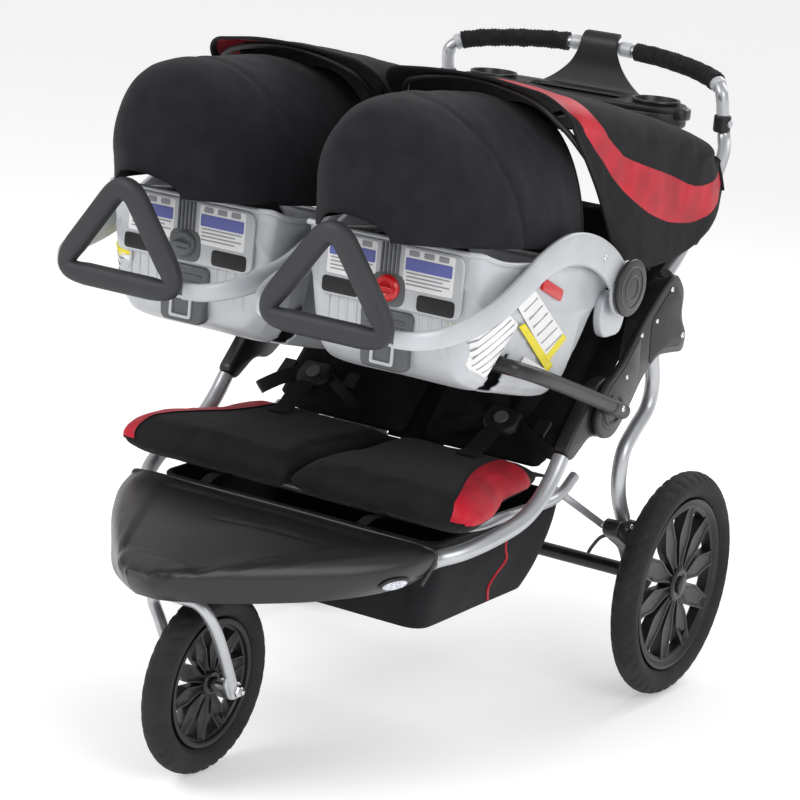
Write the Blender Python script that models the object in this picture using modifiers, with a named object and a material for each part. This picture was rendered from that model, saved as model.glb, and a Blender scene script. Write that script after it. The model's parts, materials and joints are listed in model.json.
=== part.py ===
"""Twin jogging stroller with two infant carriers, modelled piece by piece in metres, +Z up.

The front of the stroller looks along -Y and its left side is +X.  Outlines are given in a design frame
whose floor is z = 0; ORIGIN_Y moves everything so that the origin is the middle of the footprint.
"""

import math

import bmesh
import bpy
from mathutils import Matrix, Vector

# --- driving dimensions ---------------------------------------------------------------------------
ORIGIN_Y = 0.0378         # puts the middle of the footprint at y = 0
GAP = 0.0005              # between pieces that touch on the real stroller

REAR_WHEEL_R = 0.200      # 16 inch tyre
FRONT_WHEEL_R = 0.149     # 12 inch tyre
REAR_TYRE_R = 0.024       # radius of a tyre's section
FRONT_TYRE_R = 0.023
REAR_AXLE = (0.3925, 0.200)      # (y, z) of the rear wheels' axis
FRONT_AXLE = (-0.500, 0.149)
REAR_WHEEL_X = 0.362      # middle plane of each rear wheel
STEER_Y = -0.590          # the fork turns about a vertical line here

FRAME_X = 0.331           # side frame's plane
FRAME_R = 0.0135          # lower frame tube
LEG_X = 0.300
LEG_R = 0.013
LINK_X = 0.278
BAR_X = 0.3735            # arms of the carrier bar
BAR_R = 0.0125
BAR_CROSS = (-0.270, 0.690)

MAIN_HINGE = (0.090, 0.565)      # (y, z)
LEG_PIVOT = (0.322, 0.642)
LINK_PIVOT = (0.078, 0.410)
LINK_END = (0.261, 0.314)
CANOPY_PIVOT = (0.262, 0.768)

CARRIER_X = 0.189         # middle plane of each infant carrier
SHELL_WALL = 0.007
HANDLE_PIVOT = (0.058, 0.776)
HOOD_PIVOT = (-0.070, 0.820)

SIDES = (("left", 1), ("right", -1))

# --- materials ------------------------------------------------------------------------------------
MATERIALS = {
    "silver_tube": ((0.55, 0.56, 0.58), 0.35, 0.9),
    "black_tube": ((0.02, 0.02, 0.02), 0.4, 0.3),
    "black_plastic": ((0.018, 0.018, 0.02), 0.45, 0.0),
    "silver_plastic": ((0.52, 0.53, 0.55), 0.4, 0.2),
    "tyre_rubber": ((0.03, 0.03, 0.032), 0.8, 0.0),
    "foam": ((0.025, 0.025, 0.026), 0.9, 0.0),
    "black_fabric": ((0.024, 0.023, 0.027), 0.9, 0.0),
    "red_plastic": ((0.55, 0.01, 0.02), 0.4, 0.0),
    "steel": ((0.6, 0.6, 0.6), 0.25, 1.0),
}


def material(name):
    """The named Principled material, made once."""
    found = bpy.data.materials.get(name)
    if found:
        return found
    colour, roughness, metallic = MATERIALS[name]
    made = bpy.data.materials.new(name)
    made.use_nodes = True
    shader = made.node_tree.nodes["Principled BSDF"]
    shader.inputs["Base Color"].default_value = (*colour, 1.0)
    shader.inputs["Roughness"].default_value = roughness
    shader.inputs["Metallic"].default_value = metallic
    return made


# --- scene, pivots and placing --------------------------------------------------------------------
def clear_scene():
    for obj in list(bpy.data.objects):
        bpy.data.objects.remove(obj, do_unlink=True)


def new_collection(name):
    made = bpy.data.collections.new(name)
    bpy.context.scene.collection.children.link(made)
    return made


def pivot(name, at, parent=None):
    """An empty on a joint's axis; at is in the design frame."""
    empty = bpy.data.objects.new(name, None)
    STROLLER.objects.link(empty)
    empty["at"] = at
    if parent:
        empty.parent = parent
        empty.location = Vector(at) - Vector(parent["at"])
    else:
        empty.location = Vector(at) + Vector((0, ORIGIN_Y, 0))
    return empty


def place(obj, on, look, smooth_angle=0.7):
    """Hangs a piece that was drawn in the design frame on its pivot, and gives it its material."""
    if obj.name not in STROLLER.objects:
        STROLLER.objects.link(obj)
    obj.parent = on
    obj.location = Vector(obj.location) - Vector(on["at"])
    obj.data.materials.clear()
    obj.data.materials.append(material(look))
    if obj.type == "MESH" and smooth_angle:
        obj.data.shade_smooth()
        obj.data.set_sharp_from_angle(angle=smooth_angle)
    return obj


def mirrored(points, side):
    """Points given for the left side, moved to side (1 left, -1 right)."""
    return [(x * side, y, z) for x, y, z in points]


# --- outlines and routes --------------------------------------------------------------------------
def route(points, steps=3):
    """Points on a smooth curve (Catmull-Rom) through the given ones."""
    p = [Vector(q) for q in points]
    p = [p[0] * 2 - p[1], *p, p[-1] * 2 - p[-2]]
    found = []
    for i in range(1, len(p) - 2):
        for k in range(steps):
            t = k / steps
            a, b, c, d = p[i - 1 : i + 3]
            found.append(
                0.5 * (2 * b + (c - a) * t + (2 * a - 5 * b + 4 * c - d) * t**2 + (3 * b - a - 3 * c + d) * t**3)
            )
    return found + [p[-2]]


def rounded(corners, radius, steps=3):
    """A closed 2D outline with each corner rounded off."""
    found = []
    count = len(corners)
    for i, corner in enumerate(corners):
        here = Vector(corner)
        back = Vector(corners[i - 1]) - here
        ahead = Vector(corners[(i + 1) % count]) - here
        reach = min(radius, 0.45 * back.length, 0.45 * ahead.length)
        start, end = here + back.normalized() * reach, here + ahead.normalized() * reach
        for k in range(steps + 1):
            t = k / steps
            found.append((1 - t) ** 2 * start + 2 * t * (1 - t) * here + t**2 * end)
    return found


def circle(centre, radius, sides=24, turn=0.0):
    return [
        (
            centre[0] + radius * math.cos(turn + 2 * math.pi * k / sides),
            centre[1] + radius * math.sin(turn + 2 * math.pi * k / sides),
        )
        for k in range(sides)
    ]


# --- shapes ---------------------------------------------------------------------------------------
def poly_curve(name, dimensions, lines, closed):
    data = bpy.data.curves.new(name, "CURVE")
    data.dimensions = dimensions
    for points in lines:
        spline = data.splines.new("POLY")
        spline.points.add(len(points) - 1)
        for target, point in zip(spline.points, points, strict=True):
            target.co = (*point, *([0.0] * (3 - len(point))), 1.0)
        spline.use_cyclic_u = closed
    return bpy.data.objects.new(name, data)


def tube(name, points, radius, on, look, closed=False, sides=8):
    """A round tube or wire along points."""
    obj = poly_curve(name, "3D", [points], closed)
    obj.data.bevel_depth = radius
    obj.data.bevel_resolution = (sides - 4) // 2
    obj.data.use_fill_caps = not closed
    return place(obj, on, look)


def sleeve(name, points, radius, wall, on, look):
    """A hollow tube along points: foam over a bar."""
    obj = tube(name, points, radius, on, look, sides=10)
    obj.data.use_fill_caps = False
    solid = obj.modifiers.new("wall", "SOLIDIFY")
    solid.thickness = wall
    solid.offset = -1
    solid.use_even_offset = True
    return obj


def plate(name, outlines, x_low, x_high, on, look):
    """A flat piece standing in the YZ plane between two values of x; outlines after the first are holes."""
    obj = poly_curve(name, "2D", outlines, True)
    obj.data.fill_mode = "BOTH"
    obj.data.extrude = (x_high - x_low) / 2
    obj.matrix_world = Matrix(((0, 0, 1, (x_low + x_high) / 2), (1, 0, 0, 0), (0, 1, 0, 0), (0, 0, 0, 1)))
    return place(obj, on, look)


def mesh_of(obj):
    """Turns a curve piece into a welded mesh, so that it can be joined or cut."""
    graph = bpy.context.evaluated_depsgraph_get()
    data = bpy.data.meshes.new_from_object(obj.evaluated_get(graph))
    work = bmesh.new()
    work.from_mesh(data)
    bmesh.ops.remove_doubles(work, verts=work.verts, dist=1e-5)
    bmesh.ops.recalc_face_normals(work, faces=work.faces)
    work.to_mesh(data)
    work.free()
    made = bpy.data.objects.new("solid", data)
    made.matrix_basis = obj.matrix_basis.copy()
    made.parent = obj.parent
    name = obj.name
    for collection in obj.users_collection:
        collection.objects.link(made)
    bpy.data.objects.remove(obj, do_unlink=True)
    made.name = name
    return made


def mesh_object(name, work):
    data = bpy.data.meshes.new(name)
    bmesh.ops.recalc_face_normals(work, faces=work.faces)
    work.to_mesh(data)
    work.free()
    return bpy.data.objects.new(name, data)


def loft(name, rings, on, look):
    """A closed solid through rings of equal point count."""
    work = bmesh.new()
    rows = [[work.verts.new(p) for p in ring] for ring in rings]
    count = len(rings[0])
    for a, b in zip(rows, rows[1:]):
        for k in range(count):
            work.faces.new((a[k], a[(k + 1) % count], b[(k + 1) % count], b[k]))
    work.faces.new(list(reversed(rows[0])))
    work.faces.new(rows[-1])
    return place(mesh_object(name, work), on, look)


def sheet(name, rows, thickness, on, look, end_wall=False):
    """A curved sheet through rows of points, with the first row filled in where end_wall is set."""
    work = bmesh.new()
    grid = [[work.verts.new(p) for p in row] for row in rows]
    if end_wall:
        work.faces.new(grid[0])
    for a, b in zip(grid, grid[1:]):
        for k in range(len(a) - 1):
            work.faces.new((a[k], a[k + 1], b[k + 1], b[k]))
    bmesh.ops.remove_doubles(work, verts=work.verts, dist=1e-5)
    obj = place(mesh_object(name, work), on, look)
    solid = obj.modifiers.new("cloth", "SOLIDIFY")
    solid.thickness = thickness
    solid.offset = 0
    return obj


def turned(name, profile, x, y, z, on, look, steps=32):
    """A piece turned about an axis along X; profile is (along, radius), outer side first."""
    work = bmesh.new()
    verts = [work.verts.new((radius, 0, along)) for along, radius in profile]
    for a, b in zip(verts, verts[1:] + verts[:1]):
        work.edges.new((a, b))
    data = bpy.data.meshes.new(name)
    work.to_mesh(data)
    work.free()
    obj = bpy.data.objects.new(name, data)
    obj.matrix_world = Matrix.Translation((x, y, z)) @ Matrix.Rotation(math.pi / 2, 4, "Y")
    screw = obj.modifiers.new("turn", "SCREW")
    screw.axis = "Z"
    screw.steps = screw.render_steps = steps
    screw.use_merge_vertices = True
    screw.merge_threshold = 1e-5
    screw.use_normal_calculate = True
    return place(obj, on, look)


def rod(name, start, end, radius, on, look, sides=16):
    """A straight round bar between two points."""
    return tube(name, [start, end], radius, on, look, sides=sides)


def box(name, size, centre, on, look, turn=(0, 0, 0), round_by=0.002):
    bpy.ops.mesh.primitive_cube_add(size=1)
    obj = bpy.context.object
    for collection in list(obj.users_collection):
        collection.objects.unlink(obj)
    obj.name = name
    obj.data.transform(Matrix.Diagonal((*size, 1)))
    obj.location = centre
    obj.rotation_euler = turn
    place(obj, on, look)
    bevel = obj.modifiers.new("edges", "BEVEL")
    bevel.width = round_by
    bevel.segments = 1
    return obj


def helper(obj):
    """Marks a cutter or an added block: it shapes a piece and is no piece itself."""
    for collection in list(obj.users_collection):
        collection.objects.unlink(obj)
    CUTTERS.objects.link(obj)
    obj.hide_render = True
    obj.display_type = "WIRE"
    return obj


def shape_with(obj, other, operation):
    step = obj.modifiers.new(operation.lower(), "BOOLEAN")
    step.operation = operation
    step.object = helper(other)
    step.solver = "EXACT"


# --- wheels ---------------------------------------------------------------------------------------
def wheel(tag, x, axle, radius, tyre_r, rim_half, windows, on):
    """A pneumatic tyre on a spoked one-piece plastic rim."""
    ring = radius - tyre_r
    turned(f"{tag}_tyre", circle((0, ring), tyre_r, 8, math.pi / 2), x, *axle, on, "tyre_rubber", steps=28)
    rim_r = ring - tyre_r - GAP
    outer, hub = rim_r * 0.90, rim_r * 0.24
    outlines = [circle(axle, rim_r, 28)]
    for k in range(windows):
        middle = 2 * math.pi * (k + 0.5) / windows
        half_out, half_in = math.pi / windows * 0.72, math.pi / windows * 0.45
        corners = [
            (outer, middle - half_out),
            (outer, middle),
            (outer, middle + half_out),
            (hub * 1.45, middle + half_in),
            (hub * 1.45, middle - half_in),
        ]
        outlines.append([(axle[0] + r * math.cos(a), axle[1] + r * math.sin(a)) for r, a in corners])
    outlines.append(circle(axle, 0.0088 if tyre_r == REAR_TYRE_R else 0.0066, 12))
    plate(f"{tag}_rim", outlines, x - rim_half, x + rim_half, on, "black_plastic")


def build_wheels(legs, fork):
    for side, sign in SIDES:
        x = REAR_WHEEL_X * sign
        hub = pivot(f"rear_wheel_{side}_axis", (x, *REAR_AXLE), legs)
        wheel(f"rear_{side}", x, REAR_AXLE, REAR_WHEEL_R, REAR_TYRE_R, 0.016, 7, hub)
    hub = pivot("front_wheel_axis", (0, *FRONT_AXLE), fork)
    wheel("front", 0, FRONT_AXLE, FRONT_WHEEL_R, FRONT_TYRE_R, 0.015, 6, hub)


# --- front end ------------------------------------------------------------------------------------
def build_fork(fork):
    """One bent tube over the wheel, an axle between its ends and the collar that it turns in."""
    axle_y, axle_z = FRONT_AXLE
    half = [
        (0.055, axle_y, axle_z - 0.010),
        (0.055, axle_y - 0.012, axle_z + 0.02),
        (0.055, -0.551, 0.243),
        (0.052, -0.580, 0.287),
        (0.038, -0.589, 0.3045),
        (0.018, STEER_Y, 0.3065),
    ]
    points = route(half + [(-x, y, z) for x, y, z in reversed(half)], 2)
    tube("front_fork", points, 0.0095, fork, "silver_tube")
    rod("front_axle", (-0.0445, axle_y, axle_z), (0.0445, axle_y, axle_z), 0.006, fork, "steel", 10)


def build_steering_collar(root):
    work = bmesh.new()
    bmesh.ops.create_cone(
        work, cap_ends=True, segments=20, radius1=0.024, radius2=0.020, depth=0.034,
        matrix=Matrix.Translation((0, STEER_Y, 0.3345)),
    )
    place(mesh_object("steering_collar", work), root, "black_plastic")


def footrest_rows():
    """Half cross-sections of the boat-bowed footrest from its back edge to its nose."""
    stations = [
        # y low, half width low, z low | y ridge, half width ridge, z ridge | z crown
        (-0.326, 0.252, 0.333, -0.326, 0.291, 0.385, 0.398),
        (-0.380, 0.240, 0.329, -0.384, 0.272, 0.374, 0.398),
        (-0.440, 0.219, 0.328, -0.444, 0.238, 0.367, 0.396),
        (-0.505, 0.188, 0.328, -0.508, 0.192, 0.366, 0.392),
        (-0.560, 0.150, 0.328, -0.565, 0.146, 0.366, 0.388),
        (-0.612, 0.104, 0.328, -0.621, 0.098, 0.366, 0.383),
        (-0.650, 0.055, 0.328, -0.676, 0.053, 0.366, 0.378),
        (-0.672, 0.018, 0.328, -0.699, 0.020, 0.366, 0.372),
    ]
    rows = []
    for y_low, w_low, z_low, y_ridge, w_ridge, z_ridge, z_crown in stations:
        rise = z_crown - z_ridge
        rows.append(
            [
                (w_low, y_low, z_low),
                (w_low * 0.35 + w_ridge * 0.65, y_low * 0.4 + y_ridge * 0.6, z_low + (z_ridge - z_low) * 0.45),
                (w_ridge, y_ridge, z_ridge),
                (w_ridge * 0.86, y_ridge, z_ridge + rise * 0.75),
                (w_ridge * 0.45, y_ridge, z_ridge + rise * 0.95),
                (0, y_ridge, z_crown),
            ]
        )
    return rows


def build_footrest(root):
    """A moulded shell, open below, with a rear wall that the frame tubes butt against."""
    rows = [row + [(-x, y, z) for x, y, z in reversed(row[:-1])] for row in footrest_rows()]
    sheet("footrest", rows, 0.004, root, "black_plastic", end_wall=True)


def build_front_frame(root):
    for side, sign in SIDES:
        points = [
            (0.279, -0.3205, 0.372),
            (0.281, -0.300, 0.3735),
            (0.303, -0.264, 0.382),
            (0.322, -0.207, 0.396),
            (0.330, -0.137, 0.411),
            (FRAME_X, -0.084, 0.434),
            (FRAME_X, -0.048, 0.465),
            (FRAME_X, -0.022, 0.497),
        ]
        tube(f"frame_tube_{side}", mirrored(route(points, 2), sign), FRAME_R, root, "silver_tube", sides=10)
        outline = rounded(
            [(-0.034, 0.508), (-0.008, 0.487), (0.050, 0.522), (0.092, 0.512), (0.138, 0.540), (0.136, 0.592),
             (0.098, 0.617), (0.050, 0.606), (0.020, 0.566)],
            0.02,
        )
        low, high = sorted((sign * 0.3185, sign * 0.3435))
        plate(f"hinge_socket_{side}", [outline], low, high, root, "black_plastic")


def build_seat(root):
    """The tube under the seat, the padded seat itself and the basket that hangs below."""
    half = [
        (0.295, 0.104, 0.434),
        (0.295, 0.060, 0.411),
        (0.295, 0.010, 0.405),
        (0.295, -0.130, 0.410),
        (0.292, -0.200, 0.4105),
        (0.270, -0.238, 0.4105),
        (0.230, -0.247, 0.4105),
        (0.080, -0.249, 0.4105),
    ]
    points = route(half + [(-x, y, z) for x, y, z in reversed(half)], 2)
    tube("seat_tube", points, 0.009, root, "silver_tube")

    stations = [
        # y, half width, z low, z high
        (-0.318, 0.335, 0.437, 0.458),
        (-0.306, 0.346, 0.427, 0.470),
        (-0.235, 0.342, 0.425, 0.474),
        (-0.185, 0.325, 0.425, 0.472),
        (-0.145, 0.308, 0.425, 0.470),
        (-0.040, 0.296, 0.425, 0.466),
        (0.018, 0.280, 0.427, 0.462),
    ]
    rings = []
    for y, half_width, low, high in stations:
        soft = min(0.014, (high - low) * 0.4)
        right = [
            (half_width - soft, low),
            (half_width, low + soft),
            (half_width, high - soft),
            (half_width - soft, high),
        ]
        ring = right + [(-x, z) for x, z in reversed(right)]
        rings.append([(x, y, z) for x, z in ring])
    loft("seat_pad", rings, root, "black_fabric")

    corners_low = [(0.225, -0.240), (0.225, 0.105), (-0.225, 0.105), (-0.225, -0.240)]
    corners_high = [(0.262, -0.285), (0.262, 0.140), (-0.262, 0.140), (-0.262, -0.285)]
    low = rounded(corners_low, 0.03, 2)
    high = rounded(corners_high, 0.03, 2)
    rows = []
    for scale, level, ring in ((0.0, 0.222, low), (0.55, 0.222, low), (1.0, 0.226, low), (1.0, 0.385, high)):
        points = [(p[0] * scale, (p[1] + 0.07) * scale - 0.07, level) for p in ring]
        rows.append(points + points[:1])
    sheet("storage_basket", rows, 0.004, root, "black_fabric")


# --- handle frame ---------------------------------------------------------------------------------
def build_hinge_brackets(frame):
    """Outer cheek over the main hinge, thickening above it into the block that holds tube and leg."""
    cheek = rounded(
        [(0.040, 0.548), (0.062, 0.518), (0.104, 0.512), (0.140, 0.540), (0.190, 0.600), (0.240, 0.632),
         (0.300, 0.628), (0.336, 0.624), (0.342, 0.656), (0.314, 0.690), (0.318, 0.734), (0.280, 0.770),
         (0.238, 0.748), (0.180, 0.702), (0.120, 0.640), (0.060, 0.604)],
        0.02, 2,
    )
    block = rounded(
        [(0.168, 0.622), (0.190, 0.602), (0.240, 0.634), (0.300, 0.630), (0.334, 0.627), (0.339, 0.656),
         (0.311, 0.689), (0.294, 0.741), (0.274, 0.7585), (0.238, 0.744), (0.180, 0.697)],
        0.012, 2,
    )
    for side, sign in SIDES:
        low, high = sorted((sign * 0.3445, sign * 0.3580))
        obj = plate(f"hinge_bracket_{side}", [cheek], low, high, frame, "black_plastic")
        obj = mesh_of(obj)
        low, high = sorted((sign * 0.3180, sign * 0.3500))
        other = mesh_of(plate(f"bracket_block_{side}", [block], low, high, frame, "black_plastic"))
        shape_with(obj, other, "UNION")


def build_handle(frame):
    tube_path = [
        (0.3305, 0.2920, 0.7605),
        (0.329, 0.340, 0.795),
        (0.321, 0.430, 0.868),
        (0.302, 0.520, 0.932),
        (0.286, 0.552, 0.962),
        (0.280, 0.551, 0.992),
    ]
    for side, sign in SIDES:
        tube(f"handle_tube_{side}", mirrored(route(tube_path, 2), sign), 0.0115, frame, "silver_tube")
    half = [
        (0.280, 0.5505, 0.9965),
        (0.280, 0.543, 1.022),
        (0.276, 0.541, 1.042),
        (0.255, 0.555, 1.058),
        (0.200, 0.582, 1.068),
        (0.120, 0.605, 1.076),
        (0.040, 0.614, 1.079),
    ]
    bar = route(half + [(-x, y, z) for x, y, z in reversed(half)], 2)
    tube("handlebar", bar, 0.0105, frame, "silver_tube")
    held = len(bar)
    first, last = 3, 11
    for side, points in (("left", bar[first:last]), ("right", bar[held - last : held - first])):
        sleeve(f"foam_grip_{side}", points, 0.0158, 0.0036, frame, "foam")


def build_tray(frame):
    """Parent tray with two cup wells, hung by a flared tongue from the middle of the handlebar."""
    half = [(0.0, 0.462), (0.110, 0.458), (0.190, 0.470), (0.219, 0.500), (0.219, 0.540), (0.190, 0.572),
            (0.110, 0.580), (0.0, 0.588)]
    outline = rounded(half[1:-1] + [(-x, y) for x, y in reversed(half[1:-1])], 0.02, 2)
    base = poly_curve("parent_tray", "2D", [outline], True)
    base.data.fill_mode = "BOTH"
    base.data.extrude = 0.020
    base.location = (0, 0, 0.988)
    tray = mesh_of(place(base, frame, "black_plastic"))
    for sign in (1, -1):
        work = bmesh.new()
        bmesh.ops.create_cone(
            work, cap_ends=True, segments=20, radius1=0.032, radius2=0.037, depth=0.05,
            matrix=Matrix.Translation((0.165 * sign, 0.516, 0.998)),
        )
        shape_with(tray, place(mesh_object("cup_well", work), frame, "black_plastic"), "DIFFERENCE")
    centre = box("tray_well", (0.19, 0.07, 0.04), (0, 0.512, 1.008), frame, "black_plastic", round_by=0.008)
    shape_with(tray, centre, "DIFFERENCE")
    rings = []
    for y, z, half_width, thick in (
        (0.572, 0.985, 0.150, 0.014),
        (0.585, 1.005, 0.105, 0.010),
        (0.590, 1.030, 0.065, 0.008),
        (0.594, 1.055, 0.044, 0.008),
        (0.594, 1.085, 0.036, 0.008),
        (0.609, 1.100, 0.036, 0.008),
    ):
        lean = 0.3 if z < 1.09 else 1.0
        rings.append(
            [
                (half_width, y - thick / 2, z + thick * lean / 2),
                (half_width, y + thick / 2, z - thick * lean / 2),
                (-half_width, y + thick / 2, z - thick * lean / 2),
                (-half_width, y - thick / 2, z + thick * lean / 2),
            ]
        )
    shape_with(tray, loft("tray_tongue", rings, frame, "black_plastic"), "UNION")


def build_seat_backs(frame):
    """Reclined padded backs, one for each seat."""
    for side, sign in SIDES:
        rings = []
        for y, z, half_width, thick in (
            (0.060, 0.438, 0.118, 0.018),
            (0.080, 0.458, 0.128, 0.030),
            (0.235, 0.632, 0.130, 0.032),
            (0.400, 0.818, 0.128, 0.030),
            (0.418, 0.838, 0.120, 0.018),
        ):
            ahead = Vector((-0.75, 0.66)) * thick / 2
            corner = half_width - 0.01
            rings.append(
                [
                    (sign * 0.135 + dx, y + ahead[0] * k, z + ahead[1] * k)
                    for dx, k in (
                        (half_width, 0.5), (corner, 1), (-corner, 1), (-half_width, 0.5),
                        (-half_width, -0.5), (-corner, -1), (corner, -1), (half_width, -0.5),
                    )
                ]
            )
        loft(f"seat_back_{side}", rings, frame, "black_fabric")


def build_fold_triggers(frame):
    """A sliding release under each handle tube."""
    along = Vector((0, 0.093, 0.072)).normalized()
    tilt = math.atan2(along.z, along.y)
    for side, sign in SIDES:
        at = Vector((sign * 0.3255, 0.385, 0.832)) + Vector((0, along.z, -along.y)) * 0.0225
        grip = pivot(f"fold_trigger_{side}_slide", tuple(at), frame)
        box(f"fold_trigger_{side}", (0.020, 0.040, 0.014), at, grip, "black_plastic", (tilt, 0, 0), 0.003)


# --- canopies -------------------------------------------------------------------------------------
def build_canopies(frame):
    for side, sign in SIDES:
        folding = pivot(f"canopy_{side}_fold_axis", (0, *CANOPY_PIVOT), frame)
        opening = pivot(f"canopy_{side}_bow_axis", (0, *CANOPY_PIVOT), folding)
        bow = [
            (0.3085, 0.262, 0.768),
            (0.3095, 0.180, 0.828),
            (0.3275, 0.080, 0.900),
            (0.3275, -0.060, 1.000),
            (0.314, -0.128, 1.050),
            (0.270, -0.152, 1.081),
            (0.170, -0.162, 1.097),
            (0.075, -0.155, 1.083),
            (0.040, -0.128, 1.057),
            (0.0265, -0.060, 1.000),
            (0.0255, 0.080, 0.900),
            (0.0255, 0.262, 0.768),
        ]
        tube(f"canopy_bow_{side}", mirrored(route(bow, 2), sign), 0.005, opening, "black_plastic", sides=6)
        hoop = [
            (0.292, 0.330, 0.805),
            (0.292, 0.330, 0.860),
            (0.290, 0.330, 0.935),
            (0.272, 0.330, 0.978),
            (0.220, 0.330, 0.996),
            (0.110, 0.330, 0.996),
            (0.056, 0.330, 0.978),
            (0.038, 0.330, 0.935),
            (0.036, 0.330, 0.820),
        ]
        tube(f"canopy_hoop_{side}", mirrored(route(hoop, 2), sign), 0.005, frame, "black_plastic", sides=6)
        rows = []
        for y_top, z_top, y_side, z_hem, x_out, x_in in (
            (-0.178, 1.106, 0.060, 0.842, 0.337, 0.0065),
            (-0.080, 1.096, 0.120, 0.800, 0.343, 0.0065),
            (0.060, 1.070, 0.190, 0.786, 0.3450, 0.0065),
            (0.200, 1.042, 0.270, 0.790, 0.3460, 0.0065),
            (0.310, 1.018, 0.350, 0.802, 0.3460, 0.0065),
            (0.390, 0.990, 0.430, 0.838, 0.342, 0.010),
            (0.440, 0.952, 0.478, 0.885, 0.330, 0.020),
        ):
            rows.append(canopy_arch(y_top, z_top, y_side, z_hem, x_out, x_in, sign))
        sheet(f"canopy_{side}", rows, 0.002, folding, "black_fabric")


def canopy_arch(y_top, z_top, y_side, z_hem, x_out, x_in, sign):
    """One row across a canopy, from the outer hem over the top to the inner hem."""
    z_in = z_top - 0.30 * (z_top - z_hem)
    corner = 0.055
    points = []
    for t in (0.0, 0.35, 0.7):
        points.append((x_out - 0.004 * t, t))
    for k in range(5):
        angle = math.pi / 2 * k / 4
        points.append((x_out - corner * (1 - math.cos(angle)), 0.78 + 0.18 * math.sin(angle)))
    middle = (x_out + x_in) / 2
    points.append((middle + 0.04, 0.995))
    points.append((middle - 0.04, 0.995))
    inner = []
    for k in range(4):
        angle = math.pi / 2 * k / 3
        inner.append((x_in + 0.05 * (1 - math.sin(angle)), 0.80 + 0.165 * math.cos(angle)))
    points += inner + [(x_in, 0.70)]
    row = []
    for x, t in points:
        hem = z_hem if x > middle else min(z_in, z_hem + 0.03)
        row.append((sign * x, y_side + (y_top - y_side) * t**1.2, hem + (z_top - hem) * t))
    return row


# --- rear legs ------------------------------------------------------------------------------------
def build_rear_legs(legs):
    path = [
        (LEG_X, 0.322, 0.650),
        (LEG_X, 0.337, 0.600),
        (LEG_X, 0.350, 0.556),
        (LEG_X, 0.341, 0.513),
        (LEG_X, 0.303, 0.482),
        (LEG_X, 0.272, 0.454),
        (LEG_X, 0.262, 0.425),
        (LEG_X, 0.263, 0.390),
        (LEG_X, 0.275, 0.357),
        (LEG_X, 0.296, 0.324),
    ]
    bracket = rounded(
        [(0.286, 0.302), (0.316, 0.322), (0.346, 0.296), (0.376, 0.252), (0.416, 0.222), (0.418, 0.186),
         (0.396, 0.172), (0.364, 0.182), (0.348, 0.220), (0.318, 0.262), (0.276, 0.286), (0.250, 0.302),
         (0.250, 0.322), (0.270, 0.328)],
        0.012,
    )
    for side, sign in SIDES:
        tube(f"rear_leg_{side}", mirrored(route(path, 2), sign), LEG_R, legs, "silver_tube", sides=10)
        low, high = sorted((sign * 0.284, sign * 0.316))
        holder = mesh_of(plate(f"wheel_bracket_{side}", [bracket], low, high, legs, "black_plastic"))
        spindle = mesh_of(
            rod("spindle", (sign * 0.300, *REAR_AXLE), (sign * 0.374, *REAR_AXLE), 0.0082, legs, "steel", 12)
        )
        shape_with(holder, spindle, "UNION")
    rod("rear_axle", (-0.2835, *REAR_AXLE), (0.2835, *REAR_AXLE), 0.013, legs, "black_tube", 12)
    cable = route([(0.2815, 0.350, 0.264), (0.262, 0.345, 0.272), (0.236, 0.352, 0.262), (0.212, 0.370, 0.236),
                   (0.200, 0.381, 0.2195)], 3)
    tube("brake_cable", cable, 0.0035, legs, "black_plastic", sides=6)


def build_brake(legs):
    swing = pivot("brake_pedal_axis", (0, *REAR_AXLE), legs)
    y, z = REAR_AXLE
    box("brake_pedal", (0.070, 0.044, 0.012), (0, y + 0.0365, z + 0.004), swing, "black_plastic", round_by=0.004)


def build_links(links):
    start, end = Vector(LINK_PIVOT), Vector(LINK_END)
    along = (end - start).normalized()
    across = Vector((-along.y, along.x)) * 0.0065
    outline = rounded([start - across - along * 0.008, end - across + along * 0.008,
                       end + across + along * 0.008, start + across - along * 0.008], 0.006)
    for side, sign in SIDES:
        low, high = sorted((sign * (LINK_X - 0.002), sign * (LINK_X + 0.002)))
        plate(f"side_link_{side}", [outline], low, high, links, "silver_tube")


# --- infant carriers ------------------------------------------------------------------------------
def shell_ring(centre, y, half_top, half_bottom, z_low, z_high, inset=0.0):
    """A bucket's cross-section: wide at the rim, round at the bottom corners."""
    low = z_low + inset
    soft = min(0.035, (z_high - low) * 0.35)
    right = [
        (half_top - inset, z_high),
        ((half_top * 0.7 + half_bottom * 0.3) - inset, low + (z_high - low) * 0.6),
        (half_bottom - inset, low + soft),
        (half_bottom - inset - soft * 0.35, low + soft * 0.3),
        (half_bottom - inset - soft, low),
    ]
    return [(centre + x, y, z) for x, z in right + [(-x, z) for x, z in reversed(right)]]


SHELL = [
    # y, half width at the rim, half width below, z low, z rim
    (-0.366, 0.132, 0.112, 0.762, 0.868),
    (-0.360, 0.150, 0.128, 0.706, 0.868),
    (-0.346, 0.158, 0.136, 0.670, 0.862),
    (-0.300, 0.160, 0.141, 0.648, 0.850),
    (-0.220, 0.162, 0.143, 0.630, 0.840),
    (-0.100, 0.162, 0.143, 0.606, 0.828),
    (-0.050, 0.162, 0.142, 0.612, 0.820),
    (0.000, 0.160, 0.136, 0.648, 0.808),
    (0.050, 0.156, 0.122, 0.684, 0.800),
    (0.086, 0.142, 0.104, 0.708, 0.794),
    (0.104, 0.110, 0.080, 0.732, 0.786),
]


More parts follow.
